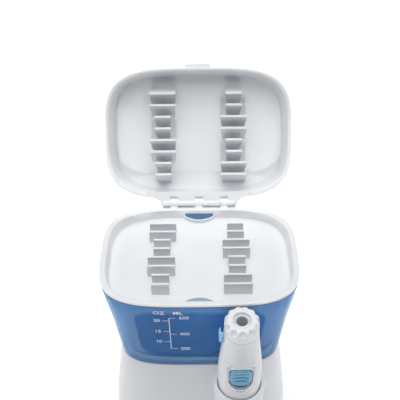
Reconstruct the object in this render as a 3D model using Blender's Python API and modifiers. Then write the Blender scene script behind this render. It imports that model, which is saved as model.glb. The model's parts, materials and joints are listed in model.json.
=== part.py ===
"""Countertop water flosser with its lid open: base, water tank, tip tray, lid and handle.

Metres, +Z up, front towards -Y. Heights are measured from the resting surface.
Inside this script one design unit is a millimetre; MM turns it into metres.
"""
import math

import bmesh
import bpy
from mathutils import Matrix, Vector

MM = 0.001
GAP = 0.3

# Driving dimensions, in millimetres
RIM_H = 202.0            # height of the tray's rim
RIM_A, RIM_B = 71.0, 49.8  # half-width and half-depth of the rim's outline
SQUARENESS = 3.75        # exponent of every plan outline
OUTLINE_POINTS = 32
SEAM_H = 113.0           # height of the seam between tank and base
SEAM_A, SEAM_B, SEAM_Y = 61.2, 34.3, 3.0
FOOT_A, FOOT_B = 71.0, 45.5
DECK_H = 119.3           # top of the base's pedestal, which the tank's hollow underside covers
PEDESTAL_INSET = 3.2
BASE_BOTTOM, BASE_WALL = 1.5, 2.4
ORIGIN_Y = -21.311       # moves the model so that its box is centred on the origin

LID_OPEN_DEG = 122.2
LID_DEPTH = 26.0
HINGE_Y, HINGE_H = 53.4, RIM_H + 1.25
KNUCKLE_X = (-19.1, 0.2, 19.4)
KNUCKLE_W = 5.4

RIB_PITCH = 8.8
RIB_X = 27.1
RIB_WIDE, RIB_NARROW = 19.8, 12.2
RIB_T = 1.2
SPINE_X = 24.8
LID_RIB_TIP, LID_RIB_ROOT, LID_LAST_ROOT = 1.8, 23.4, 21.6  # depths from the lid's rim
LID_RIB_LEAN = 9.5       # how far a lid rib's root is set back from its tip
LID_RIB_INSET = 3.0      # how much a lid rib narrows at each end of its root
BAY_R, BAY_WALL = 16.6, 1.3
BAY_BACK_Y, BAY_FRONT_Y = 56.9, -53.6

HANDLE_X, HANDLE_Y, HANDLE_H = 27.9, -65.7, RIM_H + 4.2
HANDLE_LEAN_DEG = 3.5
COLLAR_R, COLLAR_LEN = 11.65, 12.0
HANDLE_BOTTOM = -142.0
HANDLE_WALL = 1.9
# Heights down the handle's axis from the top of its collar, each with the handle's radius
HANDLE_PROFILE = ((-12.3, 11.9), (-20.0, 12.4), (-29.0, 13.2), (-40.0, 14.4), (-50.0, 15.2),
                  (-60.0, 15.45), (-70.0, 15.2), (-85.0, 14.2), (-105.0, 12.8), (-125.0, 11.6),
                  (-139.0, 10.8), (HANDLE_BOTTOM, 8.6))
HOLSTER_TOP, HOLSTER_BOTTOM, HOLSTER_GAP = -73.0, -126.0, 0.5
SWITCH_TOP, SWITCH_BOTTOM, SWITCH_TRAVEL = -38.0, -56.5, 3.0
EJECT_H = -16.4          # middle of the eject button

CRANK_E = 1.7            # crank throw of the pump's eccentric
GEAR_X, GEAR_H = -17.0, 38.0
GEAR_MODULE = 0.75
GEAR_TEETH, PINION_TEETH = 42, 14
EYE_H = 68.0             # height of the connecting rod's upper eye

DIAL_X, DIAL_H = -10.0, 46.0
BUTTON_X, BUTTON_H = -38.0, 46.0
RECESS = 2.6             # how deep the dial and the power button sit in the base's front
LENS_H = BUTTON_H + 16.0
OUTLET_H = 22.0          # height of the water outlet in the base's front
GLAND_X, GLAND_H = 34.0, 18.0
PUMP_Y = -10.1           # the piston's axis

COLLECTION = "water_flosser"

COLOURS = {
    "white_plastic": ((0.86, 0.87, 0.88, 1.0), 0.30, 0.0),
    "blue_tank": ((0.10, 0.35, 0.70, 0.5), 0.08, 0.0),
    "light_blue": ((0.22, 0.55, 0.85, 1.0), 0.30, 0.0),
    "grey_plastic": ((0.35, 0.36, 0.38, 1.0), 0.50, 0.0),
    "dark_rubber": ((0.04, 0.04, 0.045, 1.0), 0.80, 0.0),
    "steel": ((0.60, 0.60, 0.62, 1.0), 0.30, 1.0),
    "acetal": ((0.80, 0.78, 0.70, 1.0), 0.45, 0.0),
    "circuit_green": ((0.03, 0.22, 0.10, 1.0), 0.50, 0.0),
    "clear_tube": ((0.75, 0.80, 0.82, 0.5), 0.20, 0.0),
    "lens_green": ((0.20, 0.80, 0.35, 1.0), 0.20, 0.0),
}


# ---------------------------------------------------------------- scene helpers

def clear_scene():
    for obj in list(bpy.data.objects):
        bpy.data.objects.remove(obj)


def part_collection():
    if COLLECTION not in bpy.data.collections:
        made = bpy.data.collections.new(COLLECTION)
        bpy.context.scene.collection.children.link(made)
    return bpy.data.collections[COLLECTION]


def material_for(node, look):
    colour, roughness, metallic = COLOURS[look]
    made = bpy.data.materials.new(node + "_" + look)
    made.use_nodes = True
    shader = made.node_tree.nodes["Principled BSDF"]
    shader.inputs["Base Color"].default_value = colour
    shader.inputs["Roughness"].default_value = roughness
    shader.inputs["Metallic"].default_value = metallic
    shader.inputs["Alpha"].default_value = colour[3]
    return made


def empty(name, location, parent=None, rotation=(0.0, 0.0, 0.0)):
    made = bpy.data.objects.new(name, None)
    made.location = Vector(location) * MM
    made.rotation_euler = rotation
    made.parent = parent
    part_collection().objects.link(made)
    return made


def loose(name, bm):
    """A mesh object in the scene, in millimetres, not yet a finished part."""
    mesh = bpy.data.meshes.new(name)
    bm.to_mesh(mesh)
    bm.free()
    made = bpy.data.objects.new(name, mesh)
    bpy.context.scene.collection.objects.link(made)
    return made


def bake(obj):
    """Turn a curve, or a mesh with modifiers, into a plain closed mesh."""
    graph = bpy.context.evaluated_depsgraph_get()
    mesh = bpy.data.meshes.new_from_object(obj.evaluated_get(graph))
    bm = bmesh.new()
    bm.from_mesh(mesh)
    bmesh.ops.remove_doubles(bm, verts=bm.verts, dist=1e-4)
    bmesh.ops.dissolve_degenerate(bm, dist=1e-5, edges=bm.edges)
    bmesh.ops.recalc_face_normals(bm, faces=bm.faces)
    name = obj.name
    bpy.data.objects.remove(obj)
    return loose(name, bm)


def combine(target, tools, operation="DIFFERENCE"):
    """Boolean the tools into the target one by one, and use the tools up."""
    for tool in tools:
        step = target.modifiers.new(operation.lower(), "BOOLEAN")
        step.operation = operation
        step.solver = "EXACT"
        step.object = tool
        target = bake(target)
        bpy.data.objects.remove(tool)
    return target


def twin(obj):
    """A second object with its own copy of the mesh."""
    made = bpy.data.objects.new(obj.name + "_twin", obj.data.copy())
    bpy.context.scene.collection.objects.link(made)
    return made


def finish(obj, name, look, parent, smooth_deg=35.0):
    """Scale a shape to metres, name it, colour it and hang it on its parent."""
    obj.data.transform(Matrix.Scale(MM, 4))
    obj.name = name
    obj.data.name = name
    obj.data.materials.clear()
    obj.data.materials.append(material_for(name, look))
    obj.data.shade_smooth()
    obj.data.set_sharp_from_angle(angle=math.radians(smooth_deg))
    obj.parent = parent
    for owner in list(obj.users_collection):
        owner.objects.unlink(obj)
    part_collection().objects.link(obj)
    return obj


# ---------------------------------------------------------------- shape helpers

def box(low, high, bevel=0.0):
    low = Vector(low)
    high = Vector(high)
    bm = bmesh.new()
    bmesh.ops.create_cube(bm, size=1.0)
    size = high - low
    bmesh.ops.scale(bm, vec=size, verts=bm.verts)
    bmesh.ops.translate(bm, vec=(low + high) / 2, verts=bm.verts)
    if bevel:
        bmesh.ops.bevel(bm, geom=bm.edges, offset=bevel, segments=2, affect="EDGES")
    return loose("box", bm)


def rod(start, end, radius, sides=16, end_radius=None):
    """A cylinder, or a cone, between two points."""
    start = Vector(start)
    end = Vector(end)
    along = end - start
    bm = bmesh.new()
    bmesh.ops.create_cone(bm, cap_ends=True, segments=sides, radius1=radius,
                          radius2=radius if end_radius is None else end_radius,
                          depth=along.length)
    turn = Vector((0, 0, 1)).rotation_difference(along).to_matrix().to_4x4()
    bm.transform(Matrix.Translation((start + end) / 2) @ turn)
    return loose("rod", bm)


def turned(profile, centre=(0.0, 0.0, 0.0), axis=(0.0, 0.0, 1.0), steps=16):
    """A closed profile of (radius, height) points, turned about an axis."""
    bm = bmesh.new()
    corners = [bm.verts.new((radius, 0.0, height)) for radius, height in profile]
    for first, second in zip(corners, corners[1:] + corners[:1]):
        bm.edges.new((first, second))
    obj = loose("turned", bm)
    screw = obj.modifiers.new("turn", "SCREW")
    screw.axis = "Z"
    screw.steps = steps
    screw.render_steps = steps
    screw.use_merge_vertices = True
    screw.merge_threshold = 0.0001
    obj = bake(obj)
    turn = Vector((0, 0, 1)).rotation_difference(Vector(axis)).to_matrix().to_4x4()
    obj.data.transform(Matrix.Translation(Vector(centre)) @ turn)
    return obj


def circle(radius, height, steps):
    return [(radius * math.cos(2 * math.pi * i / steps), radius * math.sin(2 * math.pi * i / steps),
             height) for i in range(steps)]


def solid_turned(profile, centre=(0.0, 0.0, 0.0), axis=(0.0, 0.0, 1.0), steps=16):
    """A turned body without a bore: the profile's ends are drawn in to the axis."""
    obj = loft([circle(radius, height, steps) for radius, height in profile])
    turn = Vector((0, 0, 1)).rotation_difference(Vector(axis)).to_matrix().to_4x4()
    obj.data.transform(Matrix.Translation(Vector(centre)) @ turn)
    return obj


def outline_ring(half_width, half_depth, height, centre_y=0.0):
    """Points of a rounded-rectangle (superellipse) outline at one height."""
    ring = []
    for i in range(OUTLINE_POINTS):
        angle = 2 * math.pi * (i + 0.5) / OUTLINE_POINTS
        c, s = math.cos(angle), math.sin(angle)
        x = half_width * math.copysign(abs(c) ** (2 / SQUARENESS), c)
        y = half_depth * math.copysign(abs(s) ** (2 / SQUARENESS), s)
        ring.append((x, centre_y + y, height))
    return ring


def loft(rings, closed_loop=False):
    """Join rings of equal count with quads. Close both ends, or join the last to the first."""
    bm = bmesh.new()
    levels = [[bm.verts.new(point) for point in ring] for ring in rings]
    count = len(levels[0])
    following = levels[1:] + levels[:1] if closed_loop else levels[1:]
    for low, high in zip(levels, following):
        for i in range(count):
            j = (i + 1) % count
            bm.faces.new((low[i], low[j], high[j], high[i]))
    if not closed_loop:
        bm.faces.new(levels[0])
        bm.faces.new(levels[-1])
    bmesh.ops.recalc_face_normals(bm, faces=bm.faces)
    return loose("loft", bm)


def vessel(outer, inner):
    """A cup: outer rings from its rim to its closed end, inner rings from there to the rim."""
    return loft(list(reversed(outer)) + list(reversed(inner)))


def prism(outline, start, thickness, axis="Y"):
    """A flat outline of (u, v) points, extruded along an axis from a start value."""
    bm = bmesh.new()
    place = {"Y": lambda u, v: (u, start, v), "Z": lambda u, v: (u, v, start),
             "X": lambda u, v: (start, u, v)}[axis]
    along = {"Y": (0, thickness, 0), "Z": (0, 0, thickness), "X": (thickness, 0, 0)}[axis]
    face = bm.faces.new([bm.verts.new(place(u, v)) for u, v in outline])
    grown = bmesh.ops.extrude_face_region(bm, geom=[face])["geom"]
    moved = [item for item in grown if isinstance(item, bmesh.types.BMVert)]
    bmesh.ops.translate(bm, vec=along, verts=moved)
    bmesh.ops.recalc_face_normals(bm, faces=bm.faces)
    return loose("prism", bm)


def tube(points, radius, resolution=1):
    """A solid tube along a list of points."""
    curve = bpy.data.curves.new("tube", "CURVE")
    curve.dimensions = "3D"
    curve.bevel_depth = radius
    curve.bevel_resolution = resolution
    curve.use_fill_caps = True
    spline = curve.splines.new("POLY")
    spline.points.add(len(points) - 1)
    for point, place in zip(spline.points, points):
        point.co = (*place, 1.0)
    obj = bpy.data.objects.new("tube", curve)
    bpy.context.scene.collection.objects.link(obj)
    return bake(obj)


def smooth_path(knots, per_span=5):
    """Points along a Catmull-Rom curve through the knots."""
    knots = [Vector(k) for k in knots]
    line = [2 * knots[0] - knots[1]] + knots + [2 * knots[-1] - knots[-2]]
    points = []
    for p0, p1, p2, p3 in zip(line, line[1:], line[2:], line[3:]):
        for i in range(per_span):
            t = i / per_span
            points.append(0.5 * (2 * p1 + (p2 - p0) * t + (2 * p0 - 5 * p1 + 4 * p2 - p3) * t ** 2
                                 + (3 * p1 - p0 - 3 * p2 + p3) * t ** 3))
    return points + [knots[-1]]


def arc(centre_u, centre_v, radius, start_deg, end_deg, count):
    """Points of an arc in the plane."""
    points = []
    for i in range(count):
        angle = math.radians(start_deg + (end_deg - start_deg) * i / (count - 1))
        points.append((centre_u + radius * math.cos(angle), centre_v + radius * math.sin(angle)))
    return points


# ---------------------------------------------------------------- base

def base_section(height):
    """Half-width, half-depth and centre of the base's outline at one height."""
    t = (SEAM_H - height) / SEAM_H
    half_width = SEAM_A + (FOOT_A - SEAM_A) * (1 - (1 - t) ** 2)
    half_depth = SEAM_B + (FOOT_B - SEAM_B) * (1 - (1 - t) ** 2)
    return half_width, half_depth, SEAM_Y


def base_ring(height, inset=0.0):
    half_width, half_depth, centre = base_section(height)
    return outline_ring(half_width - inset, half_depth - inset, height, centre)


def base_front(height):
    """Y of the base's front face at its middle."""
    _, half_depth, centre = base_section(height)
    return centre - half_depth


def holster_matrix():
    lean = Matrix.Rotation(math.radians(HANDLE_LEAN_DEG), 4, "X")
    return Matrix.Translation((HANDLE_X, HANDLE_Y, HANDLE_H)) @ lean


def handle_radius(height):
    for (high, r_high), (low, r_low) in zip(HANDLE_PROFILE, HANDLE_PROFILE[1:]):
        if low <= height <= high:
            return r_low + (r_high - r_low) * (height - low) / (high - low)
    return HANDLE_PROFILE[0][1]


def seam_ring(inset, height):
    """An outline set in from the seam's."""
    return outline_ring(SEAM_A - inset, SEAM_B - inset, height, SEAM_Y)


def base_walls():
    """The flared wall, and on top of it the low pedestal that the tank stands over."""
    levels = (BASE_BOTTOM, 30.0, 60.0, 88.0, SEAM_H - 1.2)
    outer = [base_ring(h) for h in levels] + [base_ring(SEAM_H, 0.5)]
    outer += [seam_ring(PEDESTAL_INSET, SEAM_H), seam_ring(PEDESTAL_INSET, DECK_H - 1.0),
              seam_ring(PEDESTAL_INSET + 1.0, DECK_H)]
    inner = [seam_ring(PEDESTAL_INSET + BASE_WALL, DECK_H - BASE_WALL),
             seam_ring(PEDESTAL_INSET + BASE_WALL, SEAM_H - BASE_WALL)]
    inner += [base_ring(h, BASE_WALL) for h in (SEAM_H - 9.0, 60.0, 30.0, BASE_BOTTOM)]
    return vessel(outer, inner)


def holster_sleeve():
    """The leaning ring that holds the handle, and the web that joins it to the base."""
    mouth = handle_radius(HOLSTER_TOP) + HOLSTER_GAP + 0.1
    sleeve = turned([(mouth, HOLSTER_TOP), (18.2, HOLSTER_TOP - 0.8), (18.4, HOLSTER_TOP - 3.0),
                     (17.4, -100.0), (15.2, HOLSTER_BOTTOM),
                     (handle_radius(HOLSTER_BOTTOM) + HOLSTER_GAP, HOLSTER_BOTTOM),
                     (handle_radius(-105.0) + HOLSTER_GAP, -105.0)], steps=20)
    sleeve.data.transform(holster_matrix())
    web_low, web_high = 85.0, 108.0
    web = box((HANDLE_X - 9, HANDLE_Y + 12, web_low),
              (HANDLE_X + 9, base_front(web_low) + 4.0, web_high))
    return [sleeve, web]


def holster_bore():
    bore = solid_turned([(handle_radius(h) + HOLSTER_GAP, h)
                         for h in (HOLSTER_BOTTOM - 1, -105.0, HOLSTER_TOP + 1)], steps=20)
    bore.data.transform(holster_matrix())
    return bore


def base_shell(root):
    frame_posts = [box((-base_section(h)[0] + 1.2, 2.6, h), (-46.0, 8.0, h + 6.0))
                   for h in (11.0, 86.0)]
    shell = combine(base_walls(), holster_sleeve() + frame_posts, "UNION")
    shell = combine(shell, [holster_bore()])
    face = base_front(DIAL_H) + RECESS
    pads = [rod((DIAL_X, face - 1.5, DIAL_H), (DIAL_X, face + 2.4, DIAL_H), 19.0, 24),
            rod((BUTTON_X, face - 0.5, BUTTON_H), (BUTTON_X, face + 3.6, BUTTON_H), 11.0)]
    shell = combine(shell, pads, "UNION")
    out, deep = -80.0, -20.0
    cutters = [
        rod((DIAL_X, out, DIAL_H), (DIAL_X, face, DIAL_H), 16.8, 24),
        rod((DIAL_X, out, DIAL_H), (DIAL_X, deep, DIAL_H), 3.4, 16),
        rod((BUTTON_X, out, BUTTON_H), (BUTTON_X, deep, BUTTON_H), 7.9, 24),
        rod((BUTTON_X, out, LENS_H), (BUTTON_X, deep, LENS_H), 1.9, 12),
        rod((0, SEAM_Y, DECK_H - 7), (0, SEAM_Y, DECK_H + 13), 9.0, 24),
        rod((HANDLE_X, out, OUTLET_H), (HANDLE_X, deep, OUTLET_H), 4.4, 16),
        rod((GLAND_X, 20, GLAND_H), (GLAND_X, 80, GLAND_H), 5.2, 16),
    ]
    finish(combine(shell, cutters), "base_shell", "white_plastic", root)


def bottom_parts(root):
    plate_top = BASE_BOTTOM + 2.4
    plate = loft([base_ring(BASE_BOTTOM, 3.0), base_ring(plate_top, 3.0)])
    screw_at = [(x, y) for x in (-50.0, 50.0) for y in (-22.0, 28.0)]
    holes = [rod((x, y, 0), (x, y, 10), 1.9, 12) for x, y in screw_at]
    vents = [box((x - 1.2, -4, 0), (x + 1.2, 14, 10)) for x in (-12, -6, 0, 6, 12)]
    plate = combine(plate, holes + vents)
    finish(plate, "bottom_cover", "white_plastic", root)

    for number, (x, y) in enumerate(screw_at, 1):
        screw = solid_turned([(1.0, 11.0), (1.5, 10.0), (1.5, 3.6), (1.5, 1.8)], (x, y, 0), steps=10)
        finish(screw, f"cover_screw_{number}", "steel", root)

    for name, x, y in (("foot_front_left", -46, -29), ("foot_front_right", 46, -29),
                       ("foot_back_left", -46, 36), ("foot_back_right", 46, 36)):
        foot = solid_turned([(5.2, 0.0), (6.0, 0.4), (6.0, 1.2)], (x, y, 0), steps=14)
        finish(foot, name, "dark_rubber", root)


def dial_parts(root):
    face = base_front(DIAL_H) + RECESS
    pivot = empty("dial_pivot", (DIAL_X, 0, DIAL_H), root)
    knob = solid_turned([(14.6, 0.3), (15.6, 1.2), (15.0, 5.2), (13.8, 6.4)],
                        (0, face, 0), (0, -1, 0), 28)
    ridge = box((-1.4, face - 8.0, -11), (1.4, face - 6.0, 12))
    finish(combine(knob, [ridge], "UNION"), "pressure_dial", "light_blue", pivot)
    stem = rod((0, face, 0), (0, face + 14.0, 0), 2.9, 16)
    finish(stem, "valve_stem", "acetal", pivot)
    body = box((DIAL_X - 8, face + 2.8, DIAL_H - 8), (DIAL_X + 8, face + 17.0, DIAL_H + 8), 0.8)
    body = combine(body, [rod((DIAL_X, -80, DIAL_H), (DIAL_X, face + 14.6, DIAL_H), 3.2, 16)])
    finish(body, "pressure_valve_body", "acetal", root)


def button_parts(root):
    face = base_front(BUTTON_H) + RECESS
    seat = empty("button_seat", (BUTTON_X, 0, BUTTON_H), root)
    cap = solid_turned([(9.6, -5.6), (9.6, -4.0), (7.5, -4.0), (7.5, 2.8), (6.6, 3.8)],
                       (0, face, 0), (0, -1, 0), 20)
    finish(cap, "power_button", "light_blue", seat)
    switch = box((BUTTON_X - 5, face + 8.4, BUTTON_H - 4),
                 (BUTTON_X + 5, face + 14.0, BUTTON_H + 4))
    finish(switch, "power_switch", "dark_rubber", root)
    board = box((BUTTON_X - 14, face + 14.3, 22), (BUTTON_X + 15, face + 15.9, 66))
    finish(board, "control_board", "circuit_green", root)
    lens = rod((BUTTON_X, face - RECESS, LENS_H), (BUTTON_X, face + 4.0, LENS_H), 1.6, 12)
    finish(lens, "status_lens", "lens_green", root)


def supply_parts(root):
    supply = box((16, 2, 5), (46, 32, 38), 1.0)
    finish(supply, "power_supply", "dark_rubber", root)
    back = SEAM_Y + base_section(GLAND_H)[1]
    gland = solid_turned([(4.9, -10.0), (4.9, 0.8), (7.4, 0.8), (7.4, 2.6), (4.6, 7.0)],
                         (GLAND_X, back, GLAND_H), (0, 1, 0), 20)
    lead_hole = rod((GLAND_X, back + 1, GLAND_H), (GLAND_X, back + 20, GLAND_H), 3.0, 16)
    finish(combine(gland, [lead_hole]), "mains_gland", "dark_rubber", root)
    front = base_front(OUTLET_H) - 0.8
    outlet = solid_turned([(4.0, -10.0), (4.0, 0.0), (6.8, 0.0), (6.8, 2.0), (3.0, 2.0), (2.6, 6.0),
                           (3.0, 7.0), (2.4, 9.5)], (HANDLE_X, front, OUTLET_H), (0, -1, 0), 16)
    water_way = rod((HANDLE_X, -90, OUTLET_H), (HANDLE_X, front + 20, OUTLET_H), 1.5, 12)
    finish(combine(outlet, [water_way]), "hose_outlet", "light_blue", root)


# ---------------------------------------------------------------- pump drive

def gear_outline(teeth, module, turn_deg):
    """A toothed outline whose teeth are narrower than their spaces, for running clearance."""
    pitch_r = teeth * module / 2
    tip_r, root_r = pitch_r + 0.85 * module, pitch_r - 1.25 * module
    step = 2 * math.pi / teeth
    points = []
    for i in range(teeth):
        middle = step * i + math.radians(turn_deg)
        for offset, radius in ((-0.25, root_r), (-0.10, tip_r), (0.10, tip_r), (0.25, root_r)):
            angle = middle + offset * step
            points.append((radius * math.cos(angle), radius * math.sin(angle)))
    return points


MOTOR_X = GEAR_X - GEAR_MODULE * (GEAR_TEETH + PINION_TEETH) / 2


def motor_parts(root):
    plate = box((-55, -0.7, 10), (-5, 2.3, 96), 0.0)
    plate = combine(plate, [rod((MOTOR_X, -10, GEAR_H), (MOTOR_X, 10, GEAR_H), 2.0, 16),
                            box((-34, -10, 66), (-8, 10, 82))])
    finish(plate, "pump_frame", "grey_plastic", root)
    motor = solid_turned([(13.7, 2.6), (13.7, 33.0), (12.9, 34.0), (5.0, 34.0), (5.0, 36.0)],
                         (MOTOR_X, 0, GEAR_H), (0, 1, 0), 28)
    motor = combine(motor, [rod((MOTOR_X, 0, GEAR_H), (MOTOR_X, 9, GEAR_H), 1.7, 12)])
    finish(motor, "motor", "steel", root)
    axle = rod((GEAR_X, -13.2, GEAR_H), (GEAR_X, -1.0, GEAR_H), 1.95, 16)
    finish(axle, "gear_axle", "steel", root)
    pinion_pivot = empty("pinion_pivot", (MOTOR_X, 0, GEAR_H), root)
    pinion = prism(gear_outline(PINION_TEETH, GEAR_MODULE, 0.0), -8.0, 5.0)
    pinion = combine(pinion, [rod((0, -10, 0), (0, 0, 0), 1.35, 12)])
    finish(pinion, "motor_pinion", "acetal", pinion_pivot)
    finish(rod((0, -8.6, 0), (0, 7.6, 0), 1.1, 12), "motor_shaft", "steel", pinion_pivot)


def gear_parts(root):
    gear_pivot = empty("gear_pivot", (GEAR_X, 0, GEAR_H), root)
    half_pitch = 180.0 / GEAR_TEETH
    gear = prism(gear_outline(GEAR_TEETH, GEAR_MODULE, half_pitch), -7.6, 4.4)
    gear = combine(gear, [rod((CRANK_E, -12.4, 0), (CRANK_E, -7.0, 0), 6.0, 20)], "UNION")
    gear = combine(gear, [rod((0, -20, 0), (0, 0, 0), 2.15, 16)])
    finish(gear, "drive_gear", "acetal", gear_pivot)

    crank = empty("crank_pin", (CRANK_E, 0, 0), gear_pivot)
    length = EYE_H - GEAR_H
    link = rod((0, -12.0, 0), (0, -8.2, 0), 9.0, 20)
    eye = rod((0, -12.0, length), (0, -8.2, length), 7.6, 20)
    shank = box((-3, -11.8, 6), (3, -8.4, length - 6))
    link = combine(link, [eye, shank], "UNION")
    link = combine(link, [rod((0, -20, 0), (0, 0, 0), 6.3, 20),
                          rod((0, -20, length), (0, 0, length), 5.6, 20)])
    finish(link, "connecting_rod", "acetal", crank)


def piston_parts(root):
    slider = empty("piston_slide", (GEAR_X, PUMP_Y, EYE_H), root)
    crown_low, crown_high = 83.0 - EYE_H, 93.0 - EYE_H
    piston = solid_turned([(4.9, crown_low - 3.0), (4.9, crown_low + 5.0), (3.9, crown_low + 5.0),
                           (3.9, crown_low + 7.0), (4.9, crown_low + 7.0), (4.9, crown_high)],
                          steps=16)
    yoke = box((-5, -4.6, -5), (5, 4.6, crown_low - 0.5))
    window = box((-8, -2.7, -12), (8, 2.7, crown_low - 3.0))
    yoke = combine(yoke, [window])
    piston = combine(piston, [yoke], "UNION")
    piston = combine(piston, [rod((0, -10, 0), (0, 10, 0), 1.7, 12)])
    finish(piston, "piston", "acetal", slider)
    finish(rod((0, -5.2, 0), (0, 5.2, 0), 1.4, 12), "wrist_pin", "steel", slider)
    seal = turned([(4.2, crown_low + 5.3), (5.05, crown_low + 5.3), (5.05, crown_low + 6.7),
                   (4.2, crown_low + 6.7)], steps=14)
    finish(seal, "piston_seal", "dark_rubber", slider)


def pump_parts(root):
    body = box((GEAR_X - 9, PUMP_Y - 8.5, 86.5), (GEAR_X + 7, -1.0, 98.0), 0.8)
    body = combine(body, [rod((GEAR_X, PUMP_Y, 70), (GEAR_X, PUMP_Y, 95.8), 5.3, 24),
                          rod((GEAR_X, PUMP_Y, 90), (GEAR_X, PUMP_Y, 110), 1.6, 12)])
    finish(body, "pump_body", "acetal", root)
    head = box((GEAR_X - 9, PUMP_Y - 8.5, 98.3), (GEAR_X + 7, -1.0, 103.6), 0.6)
    bores = [rod((GEAR_X, PUMP_Y, 90), (GEAR_X, PUMP_Y, 101), 2.4, 16),
             rod((GEAR_X, PUMP_Y, 101), (GEAR_X + 20, PUMP_Y, 101), 1.5, 12),
             rod((GEAR_X - 20, PUMP_Y, 101), (GEAR_X, PUMP_Y, 101), 1.5, 12)]
    finish(combine(head, bores), "valve_head", "acetal", root)
    ball = bmesh.new()
    bmesh.ops.create_uvsphere(ball, u_segments=12, v_segments=8, radius=1.3)
    bmesh.ops.translate(ball, vec=(GEAR_X, PUMP_Y, 100.6), verts=ball.verts)
    finish(loose("ball", ball), "check_ball", "steel", root)


def inlet_parts(root):
    deck_centre = (0, SEAM_Y, DECK_H)
    socket = turned([(5.4, 0.0), (8.6, 0.0), (8.6, -10.0), (3.2, -10.0), (3.2, -16.0), (1.8, -16.0),
                     (1.8, -8.0), (5.4, -8.0)], deck_centre, steps=16)
    finish(socket, "inlet_socket", "grey_plastic", root)
    seal = turned([(4.75, -6.8), (5.2, -6.8), (5.2, -5.2), (4.75, -5.2)], deck_centre, steps=14)
    finish(seal, "inlet_seal", "dark_rubber", root)
    suction = [(0, SEAM_Y, DECK_H - 16.3), (0, SEAM_Y, 96), (2, -2, 89), (3, -9, 88), (2.5, -12, 94),
               (-1, -10.5, 100.0), (-6, -10.1, 101.0), (-9.7, -10.1, 101.0)]
    finish(tube(smooth_path(suction, 3), 2.2), "inlet_tube", "clear_tube", root)
    front = base_front(OUTLET_H) - 0.8
    delivery = [(-26.9, PUMP_Y, 101), (-33, -12, 100), (-36, -18, 92), (-32, -21, 80),
                (-16, -20.5, 74), (4, -21.5, 66), (14, -20, 50), (18, -14, 34), (26, -14, 24),
                (HANDLE_X, -20, OUTLET_H), (HANDLE_X, front + 10.3, OUTLET_H)]
    finish(tube(smooth_path(delivery, 3), 2.2), "outlet_tube", "clear_tube", root)


# ---------------------------------------------------------------- tank and tray

def tank_shell(tank):
    """The tank: a tapering cup whose hollow underside covers the base's pedestal."""
    top, wall = RIM_H - 2.5, 1.7
    bottom, under = SEAM_H + GAP, DECK_H + GAP
    floor = under + 2.0
    middle = (top + bottom) / 2
    skirt = PEDESTAL_INSET - 0.8
    high = ((70.1, 48.9, top), (69.5, 48.3, top - 11.0))
    mid_a, mid_b = 65.6, 41.6
    outer = [outline_ring(*ring) for ring in high]
    outer += [outline_ring(mid_a, mid_b, middle, SEAM_Y * 0.5),
              outline_ring(SEAM_A + 0.4, SEAM_B + 0.5, bottom + 2.0, SEAM_Y),
              outline_ring(SEAM_A - 0.3, SEAM_B - 0.2, bottom, SEAM_Y),
              seam_ring(skirt, bottom), seam_ring(skirt, under)]
    inner = [seam_ring(4.0, floor), seam_ring(0.6, floor + 2.4),
             outline_ring(mid_a - wall, mid_b - wall, middle, SEAM_Y * 0.5)]
    inner += [outline_ring(a - wall, b - wall, h) for a, b, h in reversed(high)]
    drain = rod((0, SEAM_Y, DECK_H - 5), (0, SEAM_Y, DECK_H + 10), 5.0, 24)
    finish(combine(vessel(outer, inner), [drain]), "tank_shell", "blue_tank", tank)


def tank_valve_parts(tank):
    guide = turned([(3.0, 4.8), (8.0, 4.8), (8.0, 2.6), (4.6, 2.6), (4.6, -4.6),
                    (2.6, -4.6), (2.6, 1.0), (3.0, 1.0)], (0, SEAM_Y, DECK_H), steps=16)
    finish(guide, "tank_valve_body", "grey_plastic", tank)
    seat = empty("poppet_seat", (0, SEAM_Y, DECK_H + 5.0), tank)
    poppet = solid_turned([(1.2, -8.6), (1.2, 1.6), (4.6, 1.6), (4.6, 2.8), (3.6, 3.4)], steps=14)
    finish(poppet, "valve_poppet", "acetal", seat)
    seal = turned([(1.5, 0.2), (4.4, 0.2), (4.4, 1.3), (1.5, 1.3)], steps=14)
    finish(seal, "poppet_seal", "dark_rubber", seat)


def rib(x, y, width, tip, root, lean=0.0, inset=0.0):
    """A thin rib from its tip's height to its root's, which may lean back and be narrower."""
    rings = []
    for height, shift, half in ((tip, 0.0, width / 2), (root, lean, width / 2 - inset)):
        front, back = y + shift - RIB_T / 2, y + shift + RIB_T / 2
        rings.append([(x - half, front, height), (x + half, front, height),
                      (x + half, back, height), (x - half, back, height)])
    return loft(rings)


def rib_rows():
    return [RIB_PITCH * (row - 3.5) for row in range(8)]


def rib_places(left_starts_wide):
    """Middle and width of every rib: two columns of paired wide and narrow ribs."""
    places = []
    for side in (-1, 1):
        wide_first = left_starts_wide if side < 0 else not left_starts_wide
        for row, y in enumerate(rib_rows()):
            wide = (row // 2) % 2 == (0 if wide_first else 1)
            places.append((side * RIB_X, y, RIB_WIDE if wide else RIB_NARROW))
    return places


def spines(low, high):
    """Two low walls that join the ribs of each column."""
    reach = rib_rows()[-1]
    return [box((x - 0.5, -reach, low), (x + 0.5, reach, high)) for x in (-SPINE_X, SPINE_X)]


def with_finger_bay(shell, bay_y, floor):
    """Add a bay's round wall to the tray, then cut the well for a fingertip behind it."""
    side = math.copysign(1, bay_y)
    low, high = sorted((side * 46.2, bay_y - side * 2 * BAY_R))
    post = rod((0, bay_y, floor - 1.8), (0, bay_y, RIM_H - 4.6), BAY_R, 28)
    post = combine(post, [box((-20, low, 180), (20, high, 210))], "INTERSECT")
    shell = combine(shell, [post], "UNION")
    low, high = sorted((side * 30.0, side * 48.0))
    well = rod((0, bay_y, 180), (0, bay_y, RIM_H - 2.9), BAY_R - BAY_WALL, 28)
    well = combine(well, [box((-20, low, 170), (20, high, 220))], "INTERSECT")
    return combine(shell, [well])


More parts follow.
